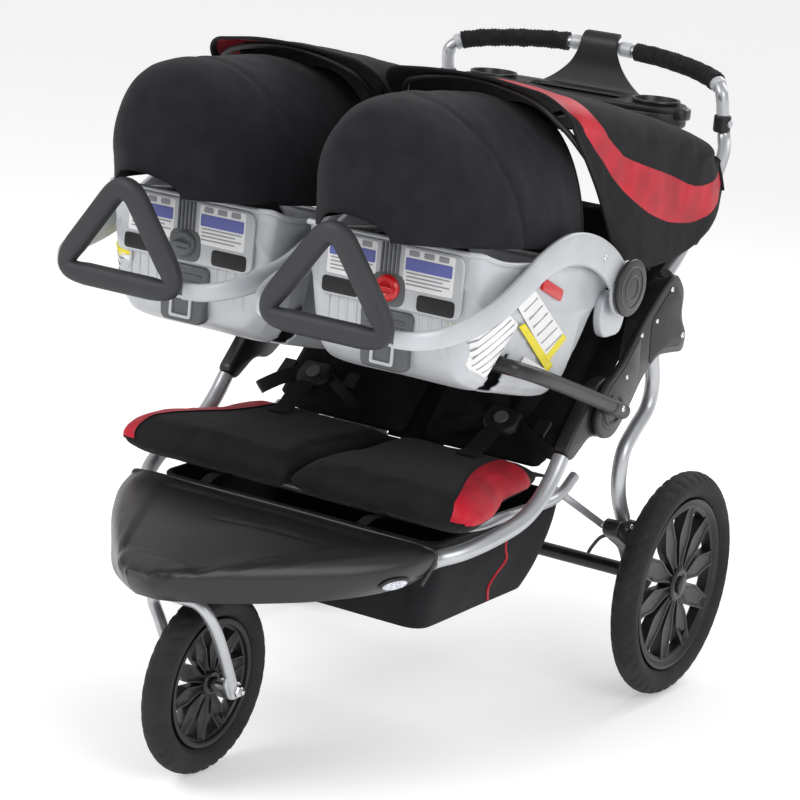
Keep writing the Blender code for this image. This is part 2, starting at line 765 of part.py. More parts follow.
def base_ring(centre, y, half_bottom, z_low, floor):
    """Cross-section of the open space between a bucket's floor and its lower edge."""
    soft = 0.035
    right = [
        (half_bottom - SHELL_WALL, floor),
        (half_bottom - SHELL_WALL, z_low + soft),
        (half_bottom - soft * 0.35 - SHELL_WALL, z_low + soft * 0.3),
        (half_bottom - soft - SHELL_WALL, z_low - 0.03),
    ]
    return [(centre + x, y, z) for x, z in right + [(-x, z) for x, z in reversed(right)]]


def bucket_floor(y, z_low):
    """Height of the floor that the baby's seat rests on: it passes over the notch for the carrier bar."""
    return z_low + (0.095 if y < -0.15 else 0.075)


def build_carrier_shell(side, sign, carrier):
    centre = CARRIER_X * sign
    shell = loft(f"carrier_shell_{side}", [shell_ring(centre, *row) for row in SHELL], carrier, "silver_plastic")
    hollow = []
    for y, half_top, half_bottom, low, high in SHELL[1:-1]:
        floor = bucket_floor(y, low)
        hollow.append(shell_ring(centre, y * 0.97, half_top - SHELL_WALL, half_bottom - SHELL_WALL, floor, high + 0.04))
    shape_with(shell, loft("bucket_hollow", hollow, carrier, "silver_plastic"), "DIFFERENCE")
    under = [base_ring(centre, y * 0.97, bottom, low, bucket_floor(y, low) - SHELL_WALL)
             for y, _, bottom, low, _ in SHELL[2:-1]]
    shape_with(shell, loft("base_hollow", under, carrier, "silver_plastic"), "DIFFERENCE")
    notch = rounded([(-0.291, 0.560), (-0.291, 0.712), (-0.249, 0.712), (-0.115, 0.560)], 0.008, 2)
    cutter = mesh_of(plate("notch", [notch], centre - 0.2, centre + 0.2, carrier, "silver_plastic"))
    shape_with(shell, cutter, "DIFFERENCE")


def hood_arch(centre, row, steps=10):
    half_width, y_side, z_side, y_top, z_top = row
    points = []
    for k in range(steps + 1):
        angle = math.pi * k / steps
        rise = math.sin(angle) ** 1.1 if 0 < k < steps else 0.0
        spread = half_width * math.cos(angle)
        points.append((centre + spread, y_side + (y_top - y_side) * rise**2, z_side + (z_top - z_side) * rise))
    return points


HOOD = [
    # half width, y and z of the side hem, y and z on the middle line
    (0.151, -0.052, 0.850, -0.026, 1.050),
    (0.160, -0.130, 0.855, -0.157, 1.077),
    (0.160, -0.205, 0.864, -0.285, 1.089),
    (0.156, -0.262, 0.870, -0.393, 1.090),
    (0.147, -0.320, 0.875, -0.470, 1.078),
    (0.130, -0.380, 0.880, -0.520, 1.040),
    (0.104, -0.434, 0.884, -0.536, 0.985),
    (0.062, -0.482, 0.888, -0.519, 0.925),
]


# from the pivot over the hump to the grip; the other half mirrors it
HANDLE_HALF_HEIGHTS = (0.030, 0.027, 0.026, 0.026, 0.023, 0.021, 0.018, 0.014, 0.012, 0.011)


def band(name, points, half_heights, half_thick, on, look):
    """A flat bar with its broad side upright, its height changing from both ends towards the middle."""
    count = len(points)
    rings = []
    for i, point in enumerate(points):
        ahead = Vector(points[min(i + 1, count - 1)]) - Vector(points[max(i - 1, 0)])
        out = ahead.cross(Vector((0, 0, 1))).normalized()
        up = out.cross(ahead).normalized()
        where = min(i, count - 1 - i) / (count / 2) * (len(half_heights) - 1)
        step = min(int(where), len(half_heights) - 2)
        height = half_heights[step] + (half_heights[step + 1] - half_heights[step]) * (where - step)
        corner = half_thick * 0.7
        section = [(1, -0.7), (1, 0.7), (0.45, 1), (-0.45, 1), (-1, 0.7), (-1, -0.7), (-0.45, -1), (0.45, -1)]
        rings.append([Vector(point) + out * a * half_thick + up * (b * (height - corner) + (b > 0) * corner
                      - (b < 0) * corner) for a, b in section])
    loft(name, rings, on, look)


def build_carrier(side, sign, bar):
    """Bucket shell, carrying handle with a triangular grip, hood on its bow and the release."""
    centre = CARRIER_X * sign
    carrier = pivot(f"carrier_{side}_lift", (centre, -0.2, 0.7), bar)
    build_carrier_shell(side, sign, carrier)

    handle = pivot(f"carrier_{side}_handle_axis", (centre, *HANDLE_PIVOT), carrier)
    half = [
        (0.1775, 0.058, 0.776),
        (0.1775, 0.000, 0.820),
        (0.1775, -0.068, 0.849),
        (0.1775, -0.140, 0.858),
        (0.1775, -0.213, 0.844),
        (0.1775, -0.280, 0.815),
        (0.1775, -0.345, 0.790),
        (0.1740, -0.420, 0.774),
        (0.160, -0.475, 0.764),
        (0.136, -0.507, 0.759),
        (0.100, -0.5165, 0.7585),
    ]
    path = route([(x, y, z) for x, y, z in half] + [(-x, y, z) for x, y, z in reversed(half)], 2)
    band(f"carrier_handle_{side}", [(centre + p.x, p.y, p.z) for p in path], HANDLE_HALF_HEIGHTS, 0.0062, handle,
         "silver_plastic")
    ring = rounded([(-0.118, 0.756), (0.118, 0.756), (0.0, 0.918)], 0.045, 5)
    tube(f"carrier_grip_{side}", [(centre + p[0], -0.540, p[1]) for p in ring], 0.0115, handle, "black_plastic", True)

    button = pivot(f"handle_button_{side}_slide", (centre + sign * 0.190, *HANDLE_PIVOT), handle)
    inner, outer = sorted((centre + sign * 0.1890, centre + sign * 0.1974))
    oval = [(HANDLE_PIVOT[0] + y, HANDLE_PIVOT[1] + z * 0.94) for y, z in circle((0, 0), 0.050, 24)]
    plate(f"handle_button_{side}", [oval], inner, outer, button, "black_plastic")

    hood = pivot(f"hood_{side}_axis", (centre, *HOOD_PIVOT), carrier)
    sheet(f"carrier_hood_{side}", [hood_arch(centre, row) for row in HOOD], 0.002, carrier, "black_fabric")
    bow = hood_arch(centre, (0.130, -0.066, 0.856, -0.190, 1.055), 12)
    tube(f"hood_bow_{side}", bow, 0.004, hood, "black_plastic", sides=6)

    release = pivot(f"carrier_{side}_release_slide", (centre, -0.376, 0.796), carrier)
    work = bmesh.new()
    bmesh.ops.create_cone(
        work, cap_ends=True, segments=20, radius1=0.019, radius2=0.021, depth=0.016,
        matrix=Matrix.Translation((centre, -0.3745, 0.796)) @ Matrix.Rotation(math.pi / 2, 4, "X"),
    )
    place(mesh_object(f"carrier_release_{side}", work), release, "red_plastic")


def build_carrier_bar(root):
    """U-shaped bar from both main hinges round the front, which both carriers hook over."""
    bar = pivot("carrier_bar_slide", (0, *BAR_CROSS), root)
    y, z = BAR_CROSS
    half = [
        (BAR_X, MAIN_HINGE[0] + 0.008, MAIN_HINGE[1] - 0.002),
        (BAR_X, 0.020, 0.591),
        (BAR_X, -0.080, 0.626),
        (BAR_X, -0.200, 0.667),
        (BAR_X - 0.010, -0.248, 0.683),
        (BAR_X - 0.038, y, z),
        (0.200, y, z),
    ]
    points = route(half + [(-x, yy, zz) for x, yy, zz in reversed(half)], 2)
    tube("carrier_bar", points, BAR_R, bar, "black_plastic")
    return bar


def build_swivel_lock(root):
    lock = pivot("swivel_lock_slide", (0, STEER_Y - 0.034, 0.335), root)
    box("swivel_lock", (0.026, 0.016, 0.022), (0, STEER_Y - 0.034, 0.335), lock, "black_plastic")


clear_scene()
STROLLER = new_collection("jogging_stroller")
CUTTERS = new_collection("cutters")

ROOT = pivot("stroller", (0, 0, 0))
FORK = pivot("fork_axis", (0, STEER_Y, 0.31), ROOT)
HANDLE = pivot("frame_fold_axis", (0, *MAIN_HINGE), ROOT)
LEGS = pivot("rear_leg_axis", (0, *LEG_PIVOT), HANDLE)
LINKS = pivot("side_link_axis", (0, *LINK_PIVOT), ROOT)

build_front_frame(ROOT)
build_footrest(ROOT)
build_steering_collar(ROOT)
build_swivel_lock(ROOT)
build_fork(FORK)
build_seat(ROOT)
build_hinge_brackets(HANDLE)
build_handle(HANDLE)
build_tray(HANDLE)
build_seat_backs(HANDLE)
build_fold_triggers(HANDLE)
build_canopies(HANDLE)
build_rear_legs(LEGS)
build_brake(LEGS)
build_links(LINKS)
build_wheels(LEGS, FORK)
BAR = build_carrier_bar(ROOT)
for SIDE, SIGN in SIDES:
    build_carrier(SIDE, SIGN, BAR)
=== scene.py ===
"""The looks of the twin jogging stroller: fabric, foam, shells, tyres and fittings round its frame."""

import json
import math

import bmesh
import bpy
import numpy as np
from mathutils import Matrix, Vector, noise


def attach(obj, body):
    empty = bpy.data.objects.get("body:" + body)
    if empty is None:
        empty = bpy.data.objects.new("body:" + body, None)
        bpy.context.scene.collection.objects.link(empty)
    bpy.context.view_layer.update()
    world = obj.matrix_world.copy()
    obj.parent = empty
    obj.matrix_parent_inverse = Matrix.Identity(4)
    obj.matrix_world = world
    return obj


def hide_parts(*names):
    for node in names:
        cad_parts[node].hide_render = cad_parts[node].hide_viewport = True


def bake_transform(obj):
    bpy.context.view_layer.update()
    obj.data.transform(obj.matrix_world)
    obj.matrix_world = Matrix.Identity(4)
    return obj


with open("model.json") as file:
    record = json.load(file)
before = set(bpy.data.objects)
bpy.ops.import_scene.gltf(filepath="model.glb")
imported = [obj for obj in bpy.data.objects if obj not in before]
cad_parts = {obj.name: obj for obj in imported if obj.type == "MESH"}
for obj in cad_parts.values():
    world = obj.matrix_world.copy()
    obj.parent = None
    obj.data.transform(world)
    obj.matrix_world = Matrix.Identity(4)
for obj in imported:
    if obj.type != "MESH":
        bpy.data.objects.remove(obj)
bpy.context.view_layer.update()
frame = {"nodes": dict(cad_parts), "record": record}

NODES = frame["nodes"]
ORIGIN_Y = 0.0378            # from the design frame, where the outlines below are given, to the part's frame
SIDES = (("left", 1), ("right", -1))
CARRIER_X = 0.189            # middle of each infant carrier
CLOTH = 0.002                # thickness of the fabric
# the camera fitted to the photograph's angle: degrees, degrees, radians, metres and millimetres
CAMERA = {"azimuth": 30.554, "elevation": 14.025, "roll": 0.09505, "distance": 4.015, "lens": 127.79}
CAMERA_TARGET = (0.3676, -0.6087, 0.6973)


# --- materials ------------------------------------------------------------------------------------
class Look:
    """A Principled material whose colour, roughness and bump come from procedural textures."""

    def __init__(self, name, colour, roughness, metallic=0.0, sheen=0.0, coat=0.0, gloss=0.5):
        self.made = bpy.data.materials.new(name)
        self.made.use_nodes = True
        self.tree = self.made.node_tree
        self.shader = self.tree.nodes["Principled BSDF"]
        self.colour = colour
        self.set("Base Color", (*colour, 1))
        self.set("Roughness", roughness)
        self.set("Metallic", metallic)
        self.set("Specular IOR Level", gloss)
        self.set("Sheen Weight", sheen)
        self.set("Sheen Roughness", 0.4)
        self.set("Coat Weight", coat)
        self.set("Coat Roughness", 0.25)
        self.where = self.tree.nodes.new("ShaderNodeTexCoord").outputs["Object"]
        self.height = None

    def set(self, socket, value):
        self.shader.inputs[socket].default_value = value

    def node(self, kind, **settings):
        made = self.tree.nodes.new(kind)
        for key, value in settings.items():
            if key in made.inputs:
                made.inputs[key].default_value = value
            else:
                setattr(made, key, value)
        return made

    def join(self, a, b):
        self.tree.links.new(a, b)

    def noise(self, scale, detail=3.0):
        made = self.node("ShaderNodeTexNoise")
        made.inputs["Scale"].default_value = scale
        made.inputs["Detail"].default_value = detail
        self.join(self.where, made.inputs["Vector"])
        return made.outputs["Fac"]

    def cells(self, scale):
        made = self.node("ShaderNodeTexVoronoi")
        made.inputs["Scale"].default_value = scale
        self.join(self.where, made.inputs["Vector"])
        return made.outputs["Distance"]

    def bands(self, scale, direction):
        made = self.node("ShaderNodeTexWave", bands_direction=direction)
        made.inputs["Scale"].default_value = scale
        made.inputs["Distortion"].default_value = 0.6
        self.join(self.where, made.inputs["Vector"])
        return made.outputs["Fac"]

    def math(self, operation, a, b):
        made = self.node("ShaderNodeMath", operation=operation)
        self.join(a, made.inputs[0])
        if isinstance(b, float):
            made.inputs[1].default_value = b
        else:
            self.join(b, made.inputs[1])
        return made.outputs[0]

    def vary_colour(self, factor, low, high):
        """Colour runs from low to high times the base colour."""
        ramp = self.node("ShaderNodeValToRGB")
        ramp.color_ramp.elements[0].position = 0.3
        ramp.color_ramp.elements[1].position = 0.7
        for element, share in zip(ramp.color_ramp.elements, (low, high)):
            element.color = (*(min(1.0, c * share) for c in self.colour), 1)
        self.join(factor, ramp.inputs["Fac"])
        self.join(ramp.outputs["Color"], self.shader.inputs["Base Color"])

    def vary_roughness(self, factor, low, high):
        span = self.node("ShaderNodeMapRange")
        span.inputs["To Min"].default_value = low
        span.inputs["To Max"].default_value = high
        self.join(factor, span.inputs["Value"])
        self.join(span.outputs["Result"], self.shader.inputs["Roughness"])

    def bump(self, height, strength, distance):
        made = self.node("ShaderNodeBump")
        made.inputs["Strength"].default_value = strength
        made.inputs["Distance"].default_value = distance
        self.join(height, made.inputs["Height"])
        if self.height:
            self.join(self.height, made.inputs["Normal"])
        self.height = made.outputs["Normal"]
        self.join(self.height, self.shader.inputs["Normal"])


def cloth_look(name, colour, thread, roughness=0.82, sheen=0.25):
    """Woven cloth: three sets of threads, so that the weave shows whichever way the surface faces."""
    look = Look(name, colour, roughness, sheen=sheen, gloss=0.15)
    weave = look.math("MULTIPLY", look.bands(thread, "X"), look.bands(thread, "Y"))
    weave = look.math("ADD", weave, look.math("MULTIPLY", look.bands(thread, "Z"), 0.6))
    look.vary_colour(look.noise(26.0, 4.0), 0.82, 1.2)
    look.vary_roughness(look.noise(65.0), roughness - 0.08, roughness + 0.08)
    look.bump(look.noise(9.0, 3.0), 0.25, 0.004)
    look.bump(weave, 0.35, 0.0004)
    return look.made


def moulded_look(name, colour, roughness, grain=900.0, strength=0.12, coat=0.0, metallic=0.0):
    """Moulded plastic or paint with a fine grain and slightly uneven gloss."""
    look = Look(name, colour, roughness, metallic=metallic, coat=coat, gloss=0.4)
    look.vary_colour(look.noise(14.0, 4.0), 0.93, 1.07)
    look.vary_roughness(look.noise(38.0, 5.0), roughness - 0.05, roughness + 0.07)
    look.bump(look.noise(grain, 2.0), strength, 0.0003)
    return look.made


def foam_look():
    look = Look("foam_wrapped", (0.014, 0.014, 0.0155), 0.86, sheen=0.05, gloss=0.2)
    look.vary_colour(look.noise(60.0), 0.75, 1.5)
    look.bump(look.noise(85.0, 5.0), 0.8, 0.003)
    look.bump(look.cells(1400.0), 0.5, 0.0004)
    return look.made


def rubber_look():
    look = Look("tyre_tread_rubber", (0.019, 0.019, 0.021), 0.72, gloss=0.25)
    look.vary_colour(look.noise(22.0, 5.0), 0.75, 1.35)
    look.vary_roughness(look.noise(60.0), 0.62, 0.84)
    look.bump(look.noise(420.0, 3.0), 0.3, 0.0005)
    return look.made


def satin_look():
    """The shiny crimson trim: smoother than the black cloth, with soft folds."""
    look = Look("crimson_satin", (0.47, 0.006, 0.022), 0.46, sheen=0.03, gloss=0.3)
    look.vary_colour(look.noise(18.0, 4.0), 0.72, 1.18)
    look.bump(look.noise(16.0, 3.0), 0.35, 0.005)
    look.bump(look.bands(900.0, "Y"), 0.2, 0.0003)
    return look.made


def reflector_look():
    look = Look("reflector_prisms", (0.62, 0.64, 0.70), 0.22, metallic=0.35, coat=0.6)
    cells = look.cells(330.0)
    look.vary_colour(cells, 0.7, 1.4)
    look.bump(cells, 0.9, 0.0012)
    return look.made


LOOKS = {
    "silver_tube": moulded_look("silver_paint", (0.50, 0.51, 0.53), 0.34, 700.0, 0.05, 0.15, 0.75),
    "black_tube": moulded_look("black_paint", (0.009, 0.009, 0.0095), 0.36, 700.0, 0.05, 0.2),
    "black_plastic": moulded_look("black_moulding", (0.011, 0.011, 0.012), 0.44, 1100.0, 0.25),
    "gloss_black": moulded_look("charcoal_moulding", (0.012, 0.012, 0.013), 0.34, 1300.0, 0.10, 0.15),
    "rim_black": moulded_look("rim_moulding", (0.013, 0.013, 0.014), 0.36, 900.0, 0.12),
    "silver_plastic": moulded_look("silver_moulding", (0.50, 0.515, 0.54), 0.36, 1100.0, 0.06, 0.2, 0.15),
    "grey_plastic": moulded_look("dark_grey_moulding", (0.10, 0.105, 0.11), 0.45, 1100.0, 0.12),
    "grip": moulded_look("grip_rubber", (0.030, 0.031, 0.034), 0.55, 1500.0, 0.25),
    "red_plastic": moulded_look("red_moulding", (0.55, 0.008, 0.012), 0.28, 1100.0, 0.05, 0.4),
    "label": moulded_look("label_paper", (0.80, 0.80, 0.80), 0.42, 200.0, 0.02),
    "label_yellow": moulded_look("label_yellow", (0.78, 0.66, 0.01), 0.42, 200.0, 0.02),
    "label_band": moulded_look("label_band_print", (0.13, 0.15, 0.42), 0.45, 200.0, 0.02),
    "label_line": moulded_look("label_print", (0.30, 0.30, 0.33), 0.5, 200.0, 0.02),
    "steel": moulded_look("plated_steel", (0.72, 0.72, 0.73), 0.20, 500.0, 0.04, 0.0, 1.0),
    "tyre": rubber_look(),
    "foam": foam_look(),
    "cloth": cloth_look("black_polyester", (0.0125, 0.0120, 0.0140), 520.0, 0.82, 0.04),
    "cloth_soft": cloth_look("black_brushed_cloth", (0.0150, 0.0145, 0.0180), 420.0, 0.88, 0.06),
    "padding": cloth_look("seat_cloth", (0.0120, 0.0120, 0.0130), 460.0, 0.80, 0.05),
    "webbing": cloth_look("webbing_cloth", (0.010, 0.010, 0.0105), 900.0, 0.7, 0.03),
    "crimson": satin_look(),
    "reflector": reflector_look(),
}


# --- curves and grids -----------------------------------------------------------------------------
def at(point):
    """A point of the design frame in the part's frame."""
    return Vector((point[0], point[1] + ORIGIN_Y, point[2]))


def route(points, steps=6):
    """Points on a smooth curve (Catmull-Rom) through the given ones."""
    p = np.array([list(q) for q in points], float)
    p = np.vstack([2 * p[0] - p[1], p, 2 * p[-1] - p[-2]])
    found = []
    for i in range(1, len(p) - 2):
        for k in range(steps):
            t = k / steps
            a, b, c, d = p[i - 1 : i + 3]
            found.append(
                0.5 * (2 * b + (c - a) * t + (2 * a - 5 * b + 4 * c - d) * t**2
                       + (3 * b - a - 3 * c + d) * t**3)
            )
    return np.array(found + [p[-2]])


def resampled(points, count):
    """The same line with count points at even spacing."""
    points = np.array(points, float)
    along = np.concatenate([[0], np.cumsum(np.linalg.norm(np.diff(points, axis=0), axis=1))])
    wanted = np.linspace(0, along[-1], count)
    return np.stack([np.interp(wanted, along, points[:, k]) for k in range(points.shape[1])], 1)


def grid_through(rows, across, along):
    """A fine grid on the smooth surface through rows of points."""
    fine = np.array([resampled(route(row, 6), across) for row in rows])
    columns = [resampled(route(fine[:, k], 6), along) for k in range(across)]
    return np.array(columns).transpose(1, 0, 2)


def grid_normals(grid):
    du = np.gradient(grid, axis=1)
    dv = np.gradient(grid, axis=0)
    normal = np.cross(du, dv)
    return normal / np.maximum(np.linalg.norm(normal, axis=2, keepdims=True), 1e-9)


def ripple(points, scale, seed):
    """Smooth noise from -1 to 1 at each point."""
    flat = points.reshape(-1, 3)
    shift = Vector((seed * 3.1, seed * 7.7, seed * 1.3))
    values = [noise.noise(Vector(p) * scale + shift) for p in flat]
    return np.array(values).reshape(points.shape[:-1])


def rounded(corners, radius, steps=5):
    """A closed 2D outline with each corner rounded off."""
    found = []
    count = len(corners)
    for i, corner in enumerate(corners):
        here = Vector(corner)
        back = Vector(corners[i - 1]) - here
        ahead = Vector(corners[(i + 1) % count]) - here
        reach = min(radius, 0.45 * back.length, 0.45 * ahead.length)
        start, end = here + back.normalized() * reach, here + ahead.normalized() * reach
        for k in range(steps + 1):
            t = k / steps
            found.append((1 - t) ** 2 * start + 2 * t * (1 - t) * here + t**2 * end)
    return found


# --- pieces ---------------------------------------------------------------------------------------
def finish_piece(obj, body, look, replaces=(), angle=0.8):
    """Links a mesh object, gives it its look and slot, shades it and hangs it on its body; a piece given two
    bodies is only baked in place and hung on none.
    """
    bpy.context.scene.collection.objects.link(obj)
    for name in [look] if isinstance(look, str) else look:
        obj.data.materials.append(LOOKS[name])
    obj.data.shade_smooth()
    if angle:
        obj.data.set_sharp_from_angle(angle=angle)
    if isinstance(body, tuple):      # two bodies with a joint between them, and where the bend starts and ends: the piece is only baked in place, nothing makes it bend
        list(body)
        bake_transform(obj)
    else:
        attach(obj, body)
    if replaces:
        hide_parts(*replaces)
    return obj


def object_of(name, work):
    data = bpy.data.meshes.new(name)
    bmesh.ops.recalc_face_normals(work, faces=work.faces)
    work.to_mesh(data)
    work.free()
    return bpy.data.objects.new(name, data)


def baked(obj):
    """Applies an object's modifiers to its mesh."""
    graph = bpy.context.evaluated_depsgraph_get()
    graph.update()
    data = bpy.data.meshes.new_from_object(obj.evaluated_get(graph))
    obj.modifiers.clear()
    obj.data = data
    return obj


def stitched(rows, ring=False):
    """A bmesh of quads between rows of points, and its vertices; ring joins each row's end to its start."""
    work = bmesh.new()
    verts = [[work.verts.new(p) for p in row] for row in rows]
    for a, b in zip(verts, verts[1:]):
        for k in range(len(a) if ring else len(a) - 1):
            near, far = k, (k + 1) % len(a)
            work.faces.new((a[near], a[far], b[far], b[near]))
    return work, verts


def cap_ends(work, verts):
    work.faces.new(list(reversed(verts[0])))
    work.faces.new(verts[-1])


def thicken(obj, name, thickness, offset):
    solid = obj.modifiers.new(name, "SOLIDIFY")
    solid.thickness = thickness
    solid.offset = offset


def cloth_sheet(name, grid, body, look, replaces=(), stripe=None):
    """A sheet of cloth through a grid of points; stripe(u, v) picks the second look's faces."""
    work = bmesh.new()
    verts = [[work.verts.new(p) for p in row] for row in grid]
    rows, columns = grid.shape[:2]
    for j in range(rows - 1):
        for k in range(columns - 1):
            face = work.faces.new((verts[j][k], verts[j][k + 1], verts[j + 1][k + 1], verts[j + 1][k]))
            if stripe and stripe((k + 0.5) / (columns - 1), (j + 0.5) / (rows - 1)):
                face.material_index = 1
    obj = object_of(name, work)
    finish_piece(obj, body, look, replaces, angle=None)
    thicken(obj, "cloth", CLOTH, 0)
    return obj


def pipe(name, points, radius, body, look, replaces=(), closed=False, sides=24, flat=None, wobble=0.0):
    """A smooth tube along points. radius may vary along it; flat is (wide, thick) for an oval section."""
    p = np.array([list(q) for q in points], float)
    count = len(p)
    ahead = np.roll(p, -1, 0) - np.roll(p, 1, 0) if closed else np.gradient(p, axis=0)
    ahead /= np.linalg.norm(ahead, axis=1, keepdims=True)
    radii = np.interp(np.linspace(0, 1, count), np.linspace(0, 1, len(radius)), radius) \
        if hasattr(radius, "__len__") else np.full(count, float(radius))
    side = Vector((1, 0, 0)) if abs(ahead[0][0]) < 0.8 else Vector((0, 0, 1))
    work = bmesh.new()
    rings = []
    for i in range(count):
        way = Vector(ahead[i])
        side = (side - way * side.dot(way)).normalized()
        up = way.cross(side)
        wide, thick = flat if flat else (1, 1)
        ring = []
        for k in range(sides):
            turn = 2 * math.pi * k / sides
            bulge = 1 + wobble * noise.noise(Vector(p[i]) * 70
                                             + Vector((math.cos(turn), math.sin(turn), 0)) * 1.5)
            out = side * math.cos(turn) * wide + up * math.sin(turn) * thick
            ring.append(work.verts.new(Vector(p[i]) + out * radii[i] * bulge))
        rings.append(ring)
    pairs = list(zip(rings, rings[1:])) + ([(rings[-1], rings[0])] if closed else [])
    for a, b in pairs:
        for k in range(sides):
            work.faces.new((a[k], a[(k + 1) % sides], b[(k + 1) % sides], b[k]))
    if not closed:
        work.faces.new(list(reversed(rings[0])))
        work.faces.new(rings[-1])
    return finish_piece(object_of(name, work), body, look, replaces)


def lofted(name, rings, body, look, replaces=(), caps=True, angle=0.8):
    """A solid through rings of equal point count, given in the part's frame."""
    work, verts = stitched(rings, ring=True)
    if caps:
        cap_ends(work, verts)
    return finish_piece(object_of(name, work), body, look, replaces, angle)


def slab(name, outline, low, high, body, look, replaces=(), plane="yz", edge=0.002, holes=()):
    """A flat moulding with rounded edges, its outline in one plane and its faces at low and high."""
    data = bpy.data.curves.new(name, "CURVE")
    data.dimensions = "2D"
    for line in (outline, *holes):
        spline = data.splines.new("POLY")
        spline.points.add(len(line) - 1)
        for target, point in zip(spline.points, line, strict=True):
            target.co = (point[0], point[1], 0, 1)
        spline.use_cyclic_u = True
    data.fill_mode = "BOTH"
    data.extrude = max((high - low) / 2 - edge, 1e-4)
    data.offset = -edge
    data.bevel_depth = edge
    data.bevel_resolution = 2
    curve = bpy.data.objects.new(name + "_curve", data)
    bpy.context.scene.collection.objects.link(curve)
    graph = bpy.context.evaluated_depsgraph_get()
    mesh = bpy.data.meshes.new_from_object(curve.evaluated_get(graph))
    bpy.data.objects.remove(curve)
    middle = (low + high) / 2
    turn = {
        "yz": Matrix(((0, 0, 1, middle), (1, 0, 0, ORIGIN_Y), (0, 1, 0, 0), (0, 0, 0, 1))),
        "xy": Matrix(((1, 0, 0, 0), (0, 1, 0, ORIGIN_Y), (0, 0, 1, middle), (0, 0, 0, 1))),
        "xz": Matrix(((1, 0, 0, 0), (0, 0, 1, middle + ORIGIN_Y), (0, 1, 0, 0), (0, 0, 0, 1))),
    }[plane]
    mesh.transform(turn)
    work = bmesh.new()
    work.from_mesh(mesh)
    bmesh.ops.remove_doubles(work, verts=work.verts, dist=1e-6)
    bmesh.ops.recalc_face_normals(work, faces=work.faces)
    work.to_mesh(mesh)
    work.free()
    return finish_piece(bpy.data.objects.new(name, mesh), body, look, replaces, 0.6)


def turned(name, profile, centre, body, look, replaces=(), axis="X", steps=72):
    """A piece turned about an axis through centre; profile is a closed list of (along, radius)."""
    work = bmesh.new()
    rings = []
    for k in range(steps):
        turn = 2 * math.pi * k / steps
        ring = []
        for along, radius in profile:
            round_ = (radius * math.cos(turn), radius * math.sin(turn))
            local = {"X": (along, *round_), "Y": (round_[0], along, round_[1]), "Z": (*round_, along)}[axis]
            ring.append(work.verts.new(Vector(centre) + Vector(local)))
        rings.append(ring)
    count = len(profile)
    for k in range(steps):
        a, b = rings[k], rings[(k + 1) % steps]
        for i in range(count):
            work.faces.new((a[i], a[(i + 1) % count], b[(i + 1) % count], b[i]))
    bmesh.ops.remove_doubles(work, verts=work.verts, dist=1e-6)
    return finish_piece(object_of(name, work), body, look, replaces, 0.6)


def screw_head(name, centre, radius, body, way=1):
    """A domed screw with a recess, facing along x."""
    profile = [(0, 0), (0, radius), (0.4 * radius * way, radius * 0.95), (0.75 * radius * way, radius * 0.65),
               (0.85 * radius * way, radius * 0.36), (0.5 * radius * way, radius * 0.30),
               (0.5 * radius * way, 0)]
    return turned(name, profile, centre, body, "steel", steps=18)


# --- camera, light and floor ----------------------------------------------------------------------
def set_stage():
    """The camera, the pale floor, the white world and three area lamps."""
    azimuth, elevation = math.radians(CAMERA["azimuth"]), math.radians(CAMERA["elevation"])
    roll = CAMERA["roll"]
    target = at(CAMERA_TARGET)
    back = Vector((math.sin(azimuth) * math.cos(elevation), -math.cos(azimuth) * math.cos(elevation),
                   math.sin(elevation)))
    right = Vector((math.cos(azimuth), math.sin(azimuth), 0))
    up = back.cross(right)
    turned_right = right * math.cos(roll) + up * math.sin(roll)
    turned_up = up * math.cos(roll) - right * math.sin(roll)
    camera = bpy.data.objects.new("camera", bpy.data.cameras.new("camera"))
    camera.data.lens = CAMERA["lens"]
    camera.data.sensor_width = 36
    axes = Matrix((turned_right, turned_up, back)).transposed()
    camera.matrix_world = Matrix.Translation(target + back * CAMERA["distance"]) @ axes.to_4x4()
    bpy.context.scene.collection.objects.link(camera)
    bpy.context.scene.camera = camera

    work = bmesh.new()
    bmesh.ops.create_circle(work, cap_ends=True, segments=64, radius=30)
    bmesh.ops.translate(work, verts=work.verts, vec=(0, 0, -0.0005))
    floor = object_of("floor", work)
    bpy.context.scene.collection.objects.link(floor)
    pale = Look("pale_floor", (0.93, 0.93, 0.93), 0.9)
    pale.set("Emission Color", (1, 1, 1, 1))
    pale.set("Emission Strength", 0.30)
    floor.data.materials.append(pale.made)

    world = bpy.data.worlds.new("studio")
    world.use_nodes = True
    world.node_tree.nodes["Background"].inputs["Color"].default_value = (1, 1, 1, 1)
    world.node_tree.nodes["Background"].inputs["Strength"].default_value = 0.62
    bpy.context.scene.world = world
    bpy.context.scene.view_settings.view_transform = "Standard"
    for name, place, size, power in (
        ("key", (-1.8, -3.2, 3.6), 2.2, 88),
        ("fill", (3.4, -1.6, 2.4), 2.4, 52),
        ("rear", (0.6, 3.2, 2.8), 2.0, 40),
    ):
        lamp = bpy.data.objects.new(name, bpy.data.lights.new(name, "AREA"))
        lamp.data.size = size
        lamp.data.energy = power
        lamp.location = place
        lamp.rotation_euler = (Vector((0, 0, 0.6)) - Vector(place)).to_track_quat("-Z", "Y").to_euler()
        bpy.context.scene.collection.objects.link(lamp)


def dress_frame():
    """Gives every CAD node the look of its material slot."""
    slots = {s["node"]: s["material_slot"] for s in frame["record"]["subparts"]}
    special = {"black_fabric": "cloth", "footrest": "gloss_black"}
    for name, obj in NODES.items():
        look = special.get(name) or special.get(slots[name]) or slots[name]
        if "rim" in name:
            look = "rim_black"
        if name.startswith("carrier_grip"):
            look = "grip"
        obj.data.materials.clear()
        obj.data.materials.append(LOOKS[look])
        obj.data.shade_smooth()
        obj.data.set_sharp_from_angle(angle=0.7)


set_stage()
dress_frame()


# --- tubes ----------------------------------------------------------------------------------------
def line(points, steps=8):
    """A smooth line through points of the design frame, in the part's frame."""
    return [at(p) for p in route(points, steps)]


def both(half):
    return [*half, *((-x, y, z) for x, y, z in reversed(half))]


